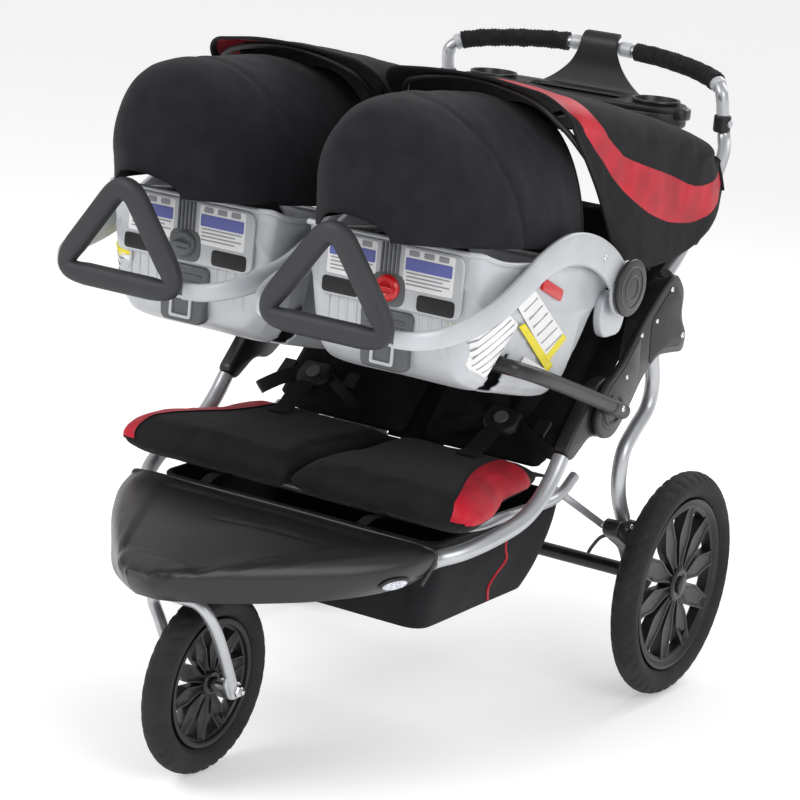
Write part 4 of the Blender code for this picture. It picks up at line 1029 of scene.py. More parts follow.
def wrap_trim(cushion, side, sign):
    """The shiny strip sewn over the seat's outer edge, laid onto the finished cushion."""
    rows = []
    for inner, outer, y in TRIM:
        rows.append([at((x * sign, y, z)) for x, z in ((inner, 0.500), (inner * 0.6 + outer * 0.4, 0.500),
                     (inner * 0.2 + outer * 0.8, 0.495), (outer + 0.016, 0.478), (outer + 0.018, 0.450),
                     (outer + 0.012, 0.428))])
    front = [[at((p[0], -0.350, z)) for p, z in zip(rows[0], (0.472, 0.472, 0.468, 0.462, 0.445, 0.426))],
             [at((p[0] * 0.995, -0.348, z))
              for p, z in zip(rows[0], (0.440, 0.440, 0.440, 0.438, 0.434, 0.422))]]
    grid = grid_through([*reversed(front), *rows], 60, 130)
    obj = object_of(f"seat_trim_{side}", stitched(grid)[0])
    bpy.context.scene.collection.objects.link(obj)
    wrap = obj.modifiers.new("wrap", "SHRINKWRAP")
    wrap.target = cushion
    wrap.wrap_method = "NEAREST_SURFACEPOINT"
    wrap.wrap_mode = "ABOVE_SURFACE"
    wrap.offset = 0.0012
    calm = obj.modifiers.new("calm", "SMOOTH")
    calm.factor = 0.5
    calm.iterations = 4
    baked(obj)
    bpy.context.scene.collection.objects.unlink(obj)
    points = np.array([v.co for v in obj.data.vertices]).reshape(130, 60, 3)
    finish_piece(obj, "front_frame", "crimson", angle=None)
    thicken(obj, "cloth", 0.0010, 1)
    for tag, edge in (("inner", points[:, 0]), ("outer", points[:, -1])):
        pipe(f"trim_piping_{tag}_{side}", edge[::2], 0.0013, "front_frame", "cloth", sides=8)


def build_back(side, sign):
    rings = []
    for y, z, half_width, thick in ((0.062, 0.440, 0.112, 0.016), (0.080, 0.458, 0.122, 0.024),
                                    (0.155, 0.542, 0.125, 0.026), (0.235, 0.632, 0.124, 0.026),
                                    (0.330, 0.738, 0.124, 0.025), (0.400, 0.818, 0.121, 0.023),
                                    (0.416, 0.836, 0.113, 0.014)):
        ahead = Vector((-0.75, 0.66)) * thick / 2
        corner = half_width - 0.012
        rings.append([at((sign * 0.135 + dx, y + ahead[0] * k, z + ahead[1] * k)) for dx, k in (
            (half_width, 0.4), (corner, 0.95), (corner * 0.5, 1.0), (-corner * 0.5, 1.0), (-corner, 0.95),
            (-half_width, 0.4), (-half_width, -0.4), (-corner, -0.95), (corner, -0.95), (half_width, -0.4))])
    obj = closed_loft(f"seat_back_pad_{side}", rings)
    inflated(obj, 0.006, "handle_frame", "padding", [f"seat_back_{side}"], voxel=0.006)


def build_wings():
    """Black cloth that closes the seat: beside the pads, between them and behind the cushions."""
    for side, sign in SIDES:
        rows = [[at((sign * x, y, z)) for x, y, z in ((0.250, y, z), (0.272, y - 0.004, z + 0.003),
                 (out, y + back, z + 0.006))]
                for y, z, out, back in ((0.082, 0.458, 0.284, 0.004), (0.155, 0.542, 0.288, 0.012),
                                        (0.235, 0.632, 0.292, 0.020), (0.330, 0.738, 0.306, 0.030),
                                        (0.395, 0.812, 0.306, 0.040))]
        grid = grid_through(rows, 24, 60)
        grid = grid + grid_normals(grid) * (0.0025 * ripple(grid, 16.0, 41 + sign))[..., None]
        obj = cloth_sheet(f"seat_wing_{side}", grid, "handle_frame", "cloth")
    rows = [[at((x, y + 0.012, z - 0.006)) for x in (-0.055, -0.02, 0.02, 0.055)]
            for y, z in ((0.064, 0.440), (0.155, 0.542), (0.235, 0.632), (0.330, 0.738), (0.400, 0.818))]
    grid = grid_through(rows, 20, 60)
    obj = cloth_sheet("seat_middle_panel", grid, "handle_frame", "cloth")
    rows = [[at((x, y, z)) for x in (-0.268, -0.14, 0.0, 0.14, 0.268)]
            for y, z in ((0.004, 0.446), (0.030, 0.441), (0.052, 0.436), (0.068, 0.434))]
    grid = grid_through(rows, 60, 20)
    obj = cloth_sheet("seat_rear_panel", grid, "front_frame", "cloth")


def strap(name, points, body, width):
    """Flat webbing along a line of the design frame."""
    return pipe(name, line(points), width / 2, body, "webbing", sides=20, flat=(1.0, 0.085))


def build_harness():
    for side, middle in (("left", (0.178, 0.052, 0.512)), ("right", (-0.182, 0.030, 0.520))):
        x, y, z = middle
        lean = Vector((0, -0.62, 0.78))
        wide = Vector((1, 0, 0))
        tall = wide.cross(lean).normalized()
        def place(a, b, c=0.0):
            return Vector(at(middle)) + wide * a + tall * b + lean * c
        outline = rounded([(-0.030, -0.024), (0.030, -0.024), (0.034, 0.010), (0.018, 0.028), (-0.018, 0.028),
                           (-0.034, 0.010)], 0.010, 6)
        rings = [[place(a * s, b * s, c) for a, b in outline]
                 for s, c in ((0.90, -0.006), (1.0, -0.003), (1.0, 0.004), (0.93, 0.008), (0.80, 0.0095))]
        lofted(f"buckle_{side}", rings, "front_frame", "black_plastic", angle=0.8)
        ring = [[place(r * math.cos(t), r * math.sin(t), c) for t in np.linspace(0, 2 * math.pi, 41)[:-1]]
                for r, c in ((0.0125, 0.008), (0.0125, 0.012), (0.0115, 0.0132), (0.008, 0.0128),
                             (0.001, 0.0124))]
        lofted(f"buckle_button_{side}", ring, "front_frame", "grey_plastic", angle=0.6)
        strap(f"crotch_strap_{side}", [(x, y - 0.115, 0.474), (x, y - 0.085, 0.479), (x, y - 0.055, z - 0.020),
                                       (x, y - 0.022, z - 0.008)], "front_frame", 0.036)
        for tag, way in (("near", 1), ("far", -1)):
            lap = [(x + way * 0.028, y + 0.004, z), (x + way * 0.062, y - 0.008, z - 0.015),
                   (x + way * 0.098, y - 0.012, 0.483), (x + way * 0.112, y, 0.474)]
            strap(f"lap_strap_{tag}_{side}", lap, "front_frame", 0.024)
            strap(f"shoulder_strap_{tag}_{side}", [(x + way * 0.016, y + 0.020, z + 0.010),
                                                   (x + way * 0.032, y + 0.045, z + 0.045),
                                                   (x + way * 0.045, y + 0.100, z + 0.115),
                                                   (x + way * 0.050, y + 0.175, z + 0.205)],
                  "handle_frame", 0.030)
            slide = [place(way * 0.066 + a, -0.010 + b, -0.012 + c) for a, b, c in (
                (-0.012, -0.016, 0), (0.012, -0.016, 0), (0.012, 0.016, 0), (-0.012, 0.016, 0))]
            lofted(f"strap_slide_{tag}_{side}", [[p + lean * c for p in slide] for c in (0.0, 0.003, 0.006)],
                   "front_frame", "black_plastic", angle=0.5)


def build_basket():
    """A hanging bag: straight rim, rounded floor, sides that belly between their seams."""
    low = rounded([(0.225, -0.240), (0.225, 0.105), (-0.225, 0.105), (-0.225, -0.240)], 0.035, 8)
    high = rounded([(0.262, -0.285), (0.262, 0.140), (-0.262, 0.140), (-0.262, -0.285)], 0.035, 8)
    count = 150
    rings = []
    low3 = resampled([(*p, 0) for p in [*low, low[0]]], count + 1)[:, :2]
    high3 = resampled([(*p, 0) for p in [*high, high[0]]], count + 1)[:, :2]
    centre = np.array([0, -0.07])
    for share in np.linspace(0.04, 0.96, 14):
        level = 0.222 + 0.004 * share**4
        rings.append([(*(centre + (p - centre) * share), level) for p in low3])
    for share in np.linspace(0, 1, 46):
        belly = 0.010 * math.sin(math.pi * share)
        ring = []
        for a, b in zip(low3, high3):
            p = a + (b - a) * share
            out = (p - centre) / np.linalg.norm(p - centre)
            ring.append((*(p + out * belly), 0.227 + (0.386 - 0.227) * share))
        rings.append(ring)
    grid = np.array([[list(at(p)) for p in ring] for ring in rings])
    fold = 0.0028 * ripple(grid * np.array([1, 1, 0.3]), 16.0, 31) + 0.0035 * ripple(grid, 7.0, 33)
    out = grid - np.array([0, -0.07 + ORIGIN_Y, 0])
    out[..., 2] = 0
    out /= np.maximum(np.linalg.norm(out, axis=2, keepdims=True), 1e-6)
    share = np.clip(np.linspace(-0.25, 1, len(rings)), 0, 1)
    grid = grid + out * (fold * np.sin(math.pi * share)[:, None])[..., None]
    obj = cloth_sheet("basket_cloth", grid, "front_frame", "cloth", ["storage_basket"])
    weld = obj.modifiers.new("close", "WELD")
    weld.merge_threshold = 0.0005
    for sign in (1, -1):
        seam = []
        for y, z in route([(-0.050, 0.384), (-0.046, 0.335), (-0.031, 0.309), (-0.050, 0.285), (-0.055, 0.262),
                           (-0.030, 0.232)], 8):
            share = (z - 0.227) / (0.386 - 0.227)
            seam.append(at((sign * (0.2265 + 0.037 * share + 0.0105 * math.sin(math.pi * share)), y, z)))
        pipe(f"basket_piping_{'left' if sign > 0 else 'right'}", seam, 0.0022, "front_frame", "crimson",
             sides=10)
    rim = [at((*p, 0.386)) for p in rounded([(0.263, -0.286), (0.263, 0.141), (-0.263, 0.141),
                                             (-0.263, -0.286)],
                                            0.035, 10)]
    pipe("basket_rim", rim, 0.0042, "front_frame", "webbing", closed=True, sides=12)


# --- infant carriers ------------------------------------------------------------------------------
SHELL = (
    # y, half width at the rim, half width below, z low, z rim
    (-0.366, 0.132, 0.112, 0.762, 0.868), (-0.360, 0.150, 0.128, 0.706, 0.868),
    (-0.346, 0.158, 0.136, 0.670, 0.862), (-0.300, 0.160, 0.141, 0.648, 0.850),
    (-0.220, 0.162, 0.143, 0.630, 0.840), (-0.100, 0.162, 0.143, 0.606, 0.828),
    (-0.050, 0.162, 0.142, 0.612, 0.820), (0.000, 0.160, 0.136, 0.648, 0.808),
    (0.050, 0.156, 0.122, 0.684, 0.800), (0.086, 0.142, 0.104, 0.708, 0.794),
    (0.104, 0.110, 0.080, 0.732, 0.786),
)


def shell_half(half_top, half_bottom, low, high):
    """The left half of a bucket's cross-section, from the rim to the middle of the floor."""
    soft = min(0.035, (high - low) * 0.35)
    return [(half_top, high), (half_top * 0.7 + half_bottom * 0.3, low + (high - low) * 0.6),
            (half_bottom, low + soft), (half_bottom - soft * 0.35, low + soft * 0.3), (half_bottom - soft, low),
            (0, low)]


def shell_grid(centre):
    rows = []
    for y, half_top, half_bottom, low, high in SHELL:
        half = shell_half(half_top, half_bottom, low, high)
        rows.append([at((centre + x, y, z)) for x, z in half + [(-x, z) for x, z in reversed(half[:-1])]])
    return grid_through(rows, 150, 120)


def side_patch(name, corners, surface, body, look, lift, radius):
    """A thin flat piece on the bucket's side; corners are (y, z) in the design frame."""
    outline = rounded(corners, radius, 4)
    middle = np.mean([list(p) for p in outline], axis=0)
    rings = []
    for share in np.linspace(1, 0.02, 14):
        rings.append([(middle[0] + (p[0] - middle[0]) * share, middle[1] + (p[1] - middle[1]) * share)
                      for p in outline])
    work, verts = stitched([[surface(y, z, lift) for y, z in ring] for ring in rings], ring=True)
    work.faces.new(verts[-1])
    thicken(finish_piece(object_of(name, work), body, look, angle=None), "sheet", 0.0004, 1)


def build_shell(side, sign):
    """One carrier's bucket, with its rim and its lining."""
    centre, body = CARRIER_X * sign, f"carrier_{side}"
    grid = shell_grid(centre)
    normal = grid_normals(grid)
    outward = np.sign((normal * (grid - np.array([centre, -0.1 + ORIGIN_Y, 0.75]))).sum(2, keepdims=True))
    normal *= outward
    share = np.linspace(0, 1, 150)[None, :]
    ribs = 0.0022 * np.clip(1.5 * np.cos(grid[..., 1] * 2 * math.pi / 0.042) - 0.6, 0, 1) \
        * ((share > 0.13) & (share < 0.30) | (share > 0.70) & (share < 0.87))
    lip = 0.0028 * (np.exp(-((share - 0.015) / 0.018) ** 2) + np.exp(-((share - 0.985) / 0.018) ** 2))
    belt = 0.0016 * (np.exp(-((share - 0.115) / 0.010) ** 2) + np.exp(-((share - 0.885) / 0.010) ** 2))
    skin = grid + normal * (ribs * 0.6 + lip + belt)[..., None]
    notch = (skin[..., 1] > -0.294 + ORIGIN_Y) & (skin[..., 1] < -0.246 + ORIGIN_Y) & (skin[..., 2] < 0.706)
    work = bmesh.new()
    verts = [[work.verts.new(p) for p in row] for row in skin]
    for j in range(len(skin) - 1):
        for k in range(149):
            if notch[j, k] and notch[j + 1, k + 1] and notch[j + 1, k] and notch[j, k + 1]:
                continue
            work.faces.new((verts[j][k], verts[j][k + 1], verts[j + 1][k + 1], verts[j + 1][k]))
    work.faces.new(verts[0])
    work.faces.new(list(reversed(verts[-1])))
    loose = [v for v in work.verts if not v.link_faces]
    bmesh.ops.delete(work, geom=loose, context="VERTS")
    obj = finish_piece(object_of(f"bucket_{side}", work), body, "silver_plastic",
                       [f"carrier_shell_{side}"], 0.7)
    thicken(obj, "wall", 0.0035, -1)
    rows = []
    for y, half_top, _, _, high in SHELL[1:-1]:
        deep = high - 0.055
        rows.append([at((centre + x * (half_top - 0.006), y * 0.96, deep + (high - 0.004 - deep) * abs(x) ** 4))
                     for x in np.linspace(-1, 1, 13)])
    pad = grid_through(rows, 60, 60)
    pad = pad + np.array([0, 0, 1]) * (0.003 * ripple(pad, 14.0, 41))[..., None]
    cloth = cloth_sheet(f"bucket_lining_{side}", pad, body, "padding")
    rim = [list(at((centre + way * half_top, y, high + 0.001))) for way in (1, -1)
           for y, half_top, _, _, high in (SHELL if way > 0 else reversed(SHELL))]
    pipe(f"bucket_rim_{side}", route([*rim, rim[0]], 6)[:-1], 0.0045, body, "silver_plastic",
         closed=True, sides=14)


def build_front(side, sign):
    """The moulded back of the bucket, which faces the front: panels, channel, black plates of painted shade
    standing in for its recesses, knob and foot.
    """
    centre, body = CARRIER_X * sign, f"carrier_{side}"

    def block(tag, x0, x1, z0, z1, deep, look, lift=0.0, radius=0.006, edge=0.0025):
        low, high = -0.3665 - lift - deep, -0.3665 - lift
        return slab(f"{tag}_{side}", rounded([(centre + x0, z0), (centre + x1, z0), (centre + x1, z1),
                                              (centre + x0, z1)], radius), low, high, body, look,
                    plane="xz", edge=edge)

    block("front_plate", -0.128, 0.128, 0.766, 0.866, 0.006, "silver_plastic", radius=0.020)
    for tag, way in (("a", -1), ("b", 1)):
        x0, x1 = sorted((way * 0.024, way * 0.112))
        block(f"panel_{tag}", x0, x1, 0.800, 0.862, 0.0008, "label", 0.0060, 0.004, 0.0003)
        block(f"panel_band_{tag}", x0 + 0.003, x1 - 0.003, 0.829, 0.848, 0.0004, "label_band",
              0.0068, 0.002, 0.0001)
        for n in range(4):
            block(f"panel_line_{tag}{n}", x0 + 0.006, x1 - 0.006 - 0.012 * (n % 2), 0.824 - n * 0.0058,
                  0.8262 - n * 0.0058, 0.0003, "label_line", 0.0068, 0.001, 0.0001)
        for n in range(3):
            block(f"panel_sketch_{tag}{n}", x0 + 0.008 + n * 0.026, x0 + 0.026 + n * 0.026,
                  0.851, 0.860, 0.0003, "label_line", 0.0068, 0.003, 0.0001)
        # painted shade: black plates laid on the silver front stand in for the shade inside its two recesses
        x0, x1 = sorted((way * 0.052, way * 0.118))
        block(f"recess_{tag}", x0, x1, 0.770, 0.795, 0.002, "black_plastic", 0.0055,
              0.007, 0.0008)
    for n in range(5):
        block(f"channel_rib_{n}", -0.016 + n * 0.0072, -0.0128 + n * 0.0072, 0.818, 0.864, 0.004,
              "grey_plastic", 0.0055, 0.001, 0.0008)
    block("knob_well", -0.030, 0.030, 0.768, 0.818, 0.0022, "grey_plastic", 0.0055,
          0.018, 0.001)
    knob = [(0.0, 0), (0.0, 0.0200), (-0.004, 0.0210), (-0.011, 0.0205), (-0.0145, 0.0175), (-0.0155, 0.011),
            (-0.0140, 0.009), (-0.0135, 0)]
    turned(f"release_knob_{side}", knob, at((centre, -0.3668, 0.796)), f"carrier_release_{side}",
           "red_plastic" if sign > 0 else "grey_plastic", [f"carrier_release_{side}"], axis="Y",
           steps=60)
    bar = rounded([(centre - 0.0165, 0.7925), (centre + 0.0165, 0.7925), (centre + 0.0165, 0.7995),
                   (centre - 0.0165, 0.7995)], 0.003)
    slab(f"knob_grip_{side}", bar, -0.3875, -0.3800, f"carrier_release_{side}",
         "red_plastic" if sign > 0 else "grey_plastic", plane="xz", edge=0.002)
    foot = rounded([(centre - 0.040, 0.668), (centre + 0.040, 0.668), (centre + 0.048, 0.762),
                    (centre - 0.048, 0.762)], 0.012)
    slab(f"foot_{side}", foot, -0.372, -0.350, body, "grey_plastic", plane="xz", edge=0.005)
    frame_outline = rounded([(centre - 0.021, 0.676), (centre + 0.021, 0.676), (centre + 0.021, 0.712),
                             (centre - 0.021, 0.712)], 0.005)
    hole = rounded([(centre - 0.016, 0.681), (centre + 0.016, 0.681), (centre + 0.016, 0.707),
                    (centre - 0.016, 0.707)], 0.003)
    slab(f"foot_slot_{side}", frame_outline, -0.3755, -0.3715, body, "silver_plastic",
         plane="xz", edge=0.001, holes=[hole])
    for n in range(3):
        z = 0.722 + n * 0.011
        slab(f"foot_rib_{n}_{side}", rounded([(centre - 0.034, z), (centre + 0.034, z),
                                              (centre + 0.034, z + 0.004),
                                              (centre - 0.034, z + 0.004)], 0.0015), -0.3745, -0.371, body,
             "grey_plastic", plane="xz", edge=0.001)
    for tag, way in (("a", -1), ("b", 1)):
        for n in range(4):
            x = way * (0.058 + 0.017 * n)
            rib = [at((centre + x, y, z)) for y, z in ((-0.3655, 0.766), (-0.3635, 0.742), (-0.3605, 0.716),
                                                       (-0.352, 0.690))]
            pipe(f"shell_rib_{tag}{n}_{side}", route(rib, 6), (0.0028, 0.0026, 0.0020, 0.0012), body,
                 "silver_plastic", sides=12)


STICKERS = (
    ((-0.372, 0.757), (-0.305, 0.792), (-0.246, 0.752), (-0.300, 0.672), (-0.346, 0.692)),
    ((-0.283, 0.802), (-0.232, 0.817), (-0.078, 0.706), (-0.122, 0.673)),
)
LABEL_LINES = 7


def lines_across(corners, ahead, count):
    """Thin bars across an outline, all along one direction, each held inside the outline."""
    ahead = Vector(ahead).normalized()
    over = Vector((-ahead.y, ahead.x))
    outline = [Vector(p) for p in corners]
    levels = [p.dot(over) for p in outline]
    for share in np.linspace(0.14, 0.86, count):
        level = min(levels) + (max(levels) - min(levels)) * share
        cuts = sorted((p + (q - p) * ((level - p.dot(over)) / (q - p).dot(over))).dot(ahead)
                      for p, q in zip(outline, outline[1:] + outline[:1])
                      if (p.dot(over) - level) * (q.dot(over) - level) < 0)
        start, end = cuts[0] + 0.006, cuts[-1] - 0.006
        if end - start > 0.010:
            yield [tuple(ahead * a + over * (level + b))
                   for a, b in ((start, -0.0013), (end, -0.0013), (end, 0.0013), (start, 0.0013))]


def build_side_labels(side, sign):
    """Blank labels on the bucket's side: white paper, yellow edges and grey bars, with no words."""
    centre, body = CARRIER_X * sign, f"carrier_{side}"

    def surface(y, z, lift):
        row = min(max(y, SHELL[0][0]), SHELL[-1][0])
        values = [float(np.interp(row, [s[0] for s in SHELL], [s[k] for s in SHELL])) for k in range(1, 5)]
        half = shell_half(*values)
        x = float(np.interp(z, [p[1] for p in reversed(half[:4])], [p[0] for p in reversed(half[:4])]))
        return Vector(at((centre + sign * (x + 0.0045 + lift), y, z)))

    def label(tag, corners, look, lift, radius=0.004):
        side_patch(f"{tag}_{side}", corners, surface, body, look, lift, radius)

    first, second = STICKERS
    label("sticker_a", first, "label", 0.0008)
    label("sticker_a_top", [(-0.370, 0.759), (-0.306, 0.791), (-0.296, 0.784), (-0.360, 0.751)], "label_yellow",
          0.0013, 0.002)
    label("sticker_b", second, "label", 0.0008)
    label("sticker_b_edge", [(-0.094, 0.716), (-0.078, 0.706), (-0.122, 0.673), (-0.138, 0.683)],
          "label_yellow", 0.0013, 0.002)
    label("sticker_b_top", [(-0.283, 0.802), (-0.232, 0.817), (-0.222, 0.809), (-0.272, 0.793)], "label_yellow",
          0.0013, 0.002)
    label("sticker_c", [(-0.243, 0.748), (-0.228, 0.752), (-0.102, 0.664), (-0.117, 0.655)],
          "label_yellow", 0.0008, 0.003)
    label("sticker_d", [(-0.226, 0.672), (-0.202, 0.694), (-0.092, 0.648), (-0.108, 0.630)], "label",
          0.0006, 0.003)
    for tag, corners, ahead in (("a", first, (0.067, 0.034)), ("b", second, (0.047, 0.024))):
        for n, bar in enumerate(lines_across(corners, ahead, LABEL_LINES)):
            label(f"line_{tag}{n}", bar, "label_line", 0.0013, 0.0005)
    clip = rounded([(-0.190, 0.800), (-0.184, 0.818), (-0.118, 0.790), (-0.124, 0.772)], 0.005)
    low, high = sorted((centre + sign * 0.158, centre + sign * 0.1655))
    slab(f"belt_guide_{side}", clip, low, high, body, "red_plastic", edge=0.002)


ARM = ((0.1775, 0.058, 0.776), (0.1775, 0.000, 0.820), (0.1775, -0.068, 0.849), (0.1775, -0.140, 0.858),
       (0.1775, -0.213, 0.844), (0.1775, -0.280, 0.815), (0.1775, -0.345, 0.790), (0.1740, -0.420, 0.774),
       (0.160, -0.475, 0.764), (0.136, -0.507, 0.759), (0.108, -0.522, 0.7585))
ARM_HALF_HEIGHTS = (0.028, 0.027, 0.026, 0.026, 0.023, 0.021, 0.019, 0.017, 0.015, 0.014, 0.013)


def build_carrying_handle(side, sign):
    """One carrier's handle: its arms, grip loop, pivot bosses and cover."""
    centre, body = CARRIER_X * sign, f"carrier_handle_{side}"
    for tag, way in (("outer", sign), ("inner", -sign)):
        path = route([(centre + way * x, y, z) for x, y, z in ARM], 8)
        heights = np.interp(np.linspace(0, 10, len(path)), range(11), ARM_HALF_HEIGHTS)
        rings = []
        for i, p in enumerate(path):
            ahead = Vector(path[min(i + 1, len(path) - 1)]) - Vector(path[max(i - 1, 0)])
            out = ahead.cross(Vector((0, 0, 1))).normalized()
            up = out.cross(ahead).normalized()
            ring = []
            for t in np.linspace(0, 2 * math.pi, 29)[:-1]:
                a = math.copysign(abs(math.cos(t)) ** 0.55, math.cos(t)) * 0.0068
                b = math.copysign(abs(math.sin(t)) ** 0.75, math.sin(t)) * heights[i]
                ring.append(at(Vector(p) + out * a + up * b))
            rings.append(ring)
        lofted(f"handle_arm_{tag}_{side}", rings, body, "silver_plastic",
               [f"carrier_handle_{side}"] if tag == "outer" else (), angle=0.9)
        x0, x1 = sorted((centre + way * 0.1765, centre + way * 0.1838))
        boss = [(0.058 + 0.046 * math.cos(t), 0.772 + 0.047 * math.sin(t))
                for t in np.linspace(0, 6.2832, 49)[:-1]]
        slab(f"pivot_boss_{tag}_{side}", boss, x0, x1, body, "silver_plastic", edge=0.003)
        low_boss = rounded([(0.030, 0.690), (0.092, 0.690), (0.106, 0.728), (0.094, 0.766), (0.026, 0.766),
                            (0.014, 0.728)], 0.022)
        x0, x1 = sorted((centre + way * 0.150, centre + way * 0.166))
        slab(f"pivot_mount_{tag}_{side}", low_boss, x0, x1, f"carrier_{side}", "silver_plastic",
             edge=0.004)
    oval = [(0.058 + 0.050 * math.cos(t), 0.776 + 0.047 * math.sin(t)) for t in np.linspace(0, 6.2832, 65)[:-1]]
    x0, x1 = sorted((centre + sign * 0.1875, centre + sign * 0.1955))
    slab(f"pivot_cover_{side}", oval, x0, x1, f"handle_button_{side}", "gloss_black",
         [f"handle_button_{side}"], edge=0.003)
    for n, share in enumerate((0.74, 0.42)):
        ring = [at((centre + sign * 0.1957, 0.058 + 0.050 * share * math.cos(t),
                    0.776 + 0.047 * share * math.sin(t)))
                for t in np.linspace(0, 6.2832, 41)[:-1]]
        pipe(f"pivot_cover_ring_{n}_{side}", ring, 0.0013, f"handle_button_{side}", "grey_plastic",
             closed=True, sides=10)
    screw_head(f"arm_screw_{side}", at((centre + sign * 0.1842, -0.030, 0.834)), 0.0045, body, way=sign)

    loop = rounded([(-0.118, 0.756), (0.118, 0.756), (0.0, 0.918)], 0.045, 14)
    loop = resampled([(*p, 0) for p in [*loop, loop[0]]], 121)[:-1]
    rings = []
    for i, p in enumerate(loop):
        ahead = loop[(i + 1) % 120] - loop[i - 1]
        ahead /= np.linalg.norm(ahead)
        out = np.array([ahead[1], -ahead[0]])
        lobe = min(1.0, max(0.0, (abs(p[0]) - 0.062) / 0.04)) * min(1.0, max(0.0, (0.80 - p[1]) / 0.03))
        wide = 0.0175 - 0.0035 * lobe
        deep = 0.0150 - 0.0025 * lobe
        ring = []
        for t in np.linspace(0, 2 * math.pi, 25)[:-1]:
            a = math.copysign(abs(math.cos(t)) ** 0.8, math.cos(t)) * wide
            b = math.copysign(abs(math.sin(t)) ** 0.8, math.sin(t)) * deep
            ring.append(at((centre + p[0] + out[0] * a, -0.540 + b, p[1] + out[1] * a)))
        rings.append(ring)
    obj = lofted(f"grip_loop_{side}", [*rings, rings[0]], body, "grip",
                 [f"carrier_grip_{side}"], caps=False, angle=0.9)
    weld = obj.modifiers.new("close", "WELD")
    weld.merge_threshold = 0.0005


def build_carriers():
    for side, sign in SIDES:
        build_shell(side, sign)
        build_front(side, sign)
        build_side_labels(side, sign)
        build_carrying_handle(side, sign)


# --- the soft tops --------------------------------------------------------------------------------
def canopy_row(y_top, z_top, y_side, z_hem, x_out, x_in, sign):
    """One row across a canopy, from the outer hem over the top to the inner hem."""
    z_in = z_top - 0.30 * (z_top - z_hem)
    corner = 0.055
    middle = (x_out + x_in) / 2
    points = [(x_out - 0.004 * t, t) for t in (0.0, 0.35, 0.7)]
    for k in range(5):
        angle = math.pi / 2 * k / 4
        points.append((x_out - corner * (1 - math.cos(angle)), 0.78 + 0.18 * math.sin(angle)))
    points += [(middle + 0.04, 0.995), (middle - 0.04, 0.995)]
    for k in range(4):
        angle = math.pi / 2 * k / 3
        points.append((x_in + 0.05 * (1 - math.sin(angle)), 0.80 + 0.165 * math.cos(angle)))
    points.append((x_in, 0.70))
    row = []
    for x, t in points:
        hem = z_hem if x > middle else min(z_in, z_hem + 0.03)
        row.append(at((sign * x, y_side + (y_top - y_side) * t**1.2, hem + (z_top - hem) * t)))
    return row


CANOPY = (
    # y and z on top, y and z of the outer hem, outer and inner x
    (-0.178, 1.106, 0.060, 0.842, 0.337, 0.0065),
    (-0.080, 1.096, 0.120, 0.800, 0.343, 0.0065),
    (0.060, 1.070, 0.190, 0.786, 0.3450, 0.0065),
    (0.200, 1.042, 0.270, 0.790, 0.3460, 0.0065),
    (0.310, 1.018, 0.350, 0.802, 0.3460, 0.0065),
    (0.390, 0.990, 0.430, 0.838, 0.342, 0.010),
    (0.440, 0.952, 0.478, 0.885, 0.330, 0.020),
)
# the crimson stripe: share across the canopy (0 outer hem, 1 inner hem), its front and rear edge along it
STRIPE = ((0.0, 1.0, 1.0), (0.03, 0.97, 1.0), (0.05, 0.85, 1.0), (0.09, 0.64, 1.0), (0.11, 0.52, 1.0),
          (0.15, 0.38, 0.90), (0.19, 0.27, 0.75), (0.24, 0.17, 0.59), (0.28, 0.135, 0.41), (0.31, 0.10, 0.27),
          (0.36, 0.06, 0.19), (0.42, 0.03, 0.15), (0.53, 0.0, 0.115), (0.60, 0.0, 0.08), (0.66, 0.0, 0.045),
          (0.74, 0.0, 0.02), (1.0, 0.0, 0.0))
STRIPE_ROWS = (26, 18, 40)      # rows of cloth before, in and after the stripe


def lined_up(grid):
    """Slides the rows of a fine grid along the cloth so that two of them are the stripe's edges."""
    rows, columns = grid.shape[:2]
    before, within, after = STRIPE_ROWS
    made = np.empty((before + within + after, columns, 3))
    old = np.linspace(0, 1, rows)
    for k in range(columns):
        share = k / (columns - 1)
        start = min(max(float(np.interp(share, [s[0] for s in STRIPE], [s[1] for s in STRIPE])), 0.012), 0.984)
        end = min(max(float(np.interp(share, [s[0] for s in STRIPE], [s[2] for s in STRIPE])),
                      start + 0.004), 0.990)
        wanted = np.concatenate([np.linspace(0, start, before, endpoint=False),
                                 np.linspace(start, end, within, endpoint=False), np.linspace(end, 1, after)])
        for axis in range(3):
            made[:, k, axis] = np.interp(wanted, old, grid[:, k, axis])
    return made


def in_stripe(u, v):
    before, within, after = STRIPE_ROWS
    row = v * (before + within + after - 1)
    return before < row < before + within and 0.04 < u < 0.72


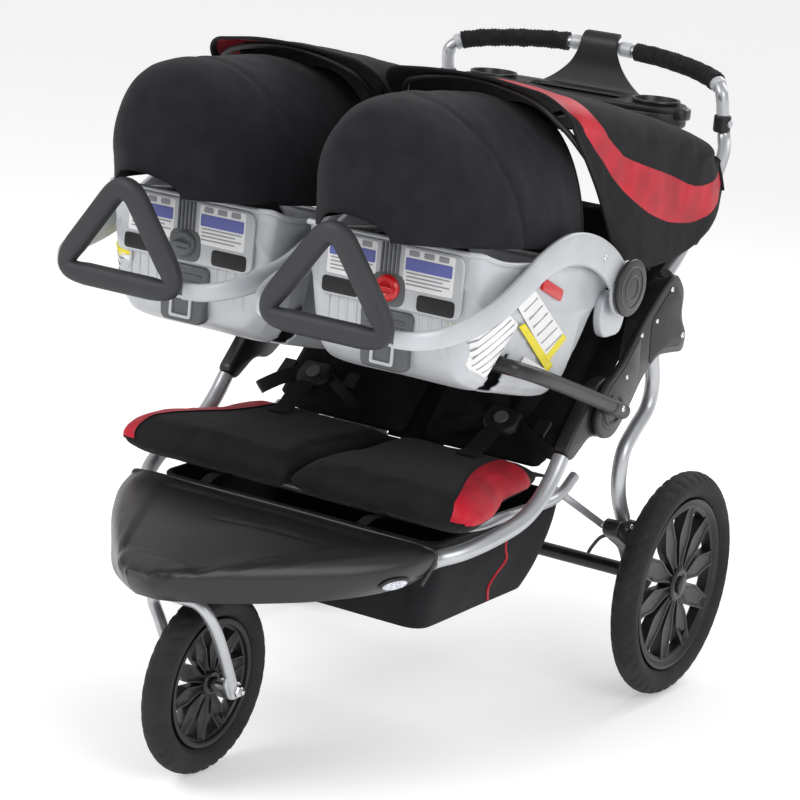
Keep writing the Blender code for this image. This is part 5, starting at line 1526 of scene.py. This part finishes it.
def build_canopies():
    for side, sign in SIDES:
        grid = lined_up(grid_through([canopy_row(*row, sign) for row in CANOPY], 120, 160))
        normal = grid_normals(grid) * -sign
        sag = (0.0035 * ripple(grid, 9.0, 1 + sign)
               + 0.0016 * ripple(grid * np.array([1, 1, 0.45]), 34.0, 4 + sign))
        share = np.linspace(0, 1, len(grid))[:, None]
        held = np.clip(share / 0.08, 0, 1) * np.clip((1 - share) / 0.06, 0, 1)
        grid = grid + normal * ((sag - 0.002) * held)[..., None]
        across = (f"canopy_{side}", f"canopy_bow_{side}", (0, 0.30, 1.00), (0, -0.06, 0.92))
        obj = cloth_sheet(f"canopy_cloth_{side}", grid, across, ["cloth", "crimson"],
                          [f"canopy_{side}"], in_stripe)
        for tag, line in (("front", grid[0]), ("rear", grid[-1])):
            pipe(f"canopy_{tag}_binding_{side}", resampled(line, 70), 0.0028, across, "cloth",
                 sides=10)


HOOD = (
    # half width, y and z of the side hem, y and z on the middle line
    (0.151, -0.052, 0.850, -0.026, 1.050),
    (0.160, -0.130, 0.855, -0.157, 1.077),
    (0.160, -0.205, 0.864, -0.285, 1.089),
    (0.156, -0.262, 0.870, -0.393, 1.090),
    (0.147, -0.320, 0.875, -0.470, 1.078),
    (0.130, -0.380, 0.880, -0.520, 1.040),
    (0.104, -0.434, 0.884, -0.536, 0.985),
    (0.062, -0.482, 0.888, -0.519, 0.925),
)


def build_hoods():
    for side, sign in SIDES:
        grid = grid_through([[at(p) for p in hood_points(CARRIER_X * sign, *row, 16)] for row in HOOD], 88, 76)
        normal = grid_normals(grid)
        along = np.linspace(0, 1, 76)[:, None]
        over = np.linspace(0, 1, 88)[None, :]
        tuck = 0.0022 * np.exp(-(((along - 0.42 - 0.10 * np.sin(math.pi * over)) / 0.010) ** 2))
        soft = (0.004 * ripple(grid, 8.0, 9 + sign)
                + 0.0018 * ripple(grid * np.array([1, 1, 0.4]), 30.0, 12 + sign))
        held = np.clip(along / 0.07, 0, 1) * np.clip((1 - along) / 0.05, 0, 1)
        grid = grid + normal * ((soft - 0.0025 - tuck) * held)[..., None]
        across = (f"carrier_{side}", f"hood_bow_{side}", (0, -0.42, 1.00), (0, -0.12, 1.00))
        obj = cloth_sheet(f"hood_cloth_{side}", grid, across, "cloth_soft",
                          [f"carrier_hood_{side}"])
        pipe(f"hood_mouth_binding_{side}", resampled(grid[0], 70), 0.0032, across, "cloth",
             sides=10)


build_tubes()
build_wheels()
build_brackets()
build_tray()
build_footrest()
build_seats()
build_wings()
build_harness()
build_basket()
build_carriers()
build_canopies()
build_hoods()
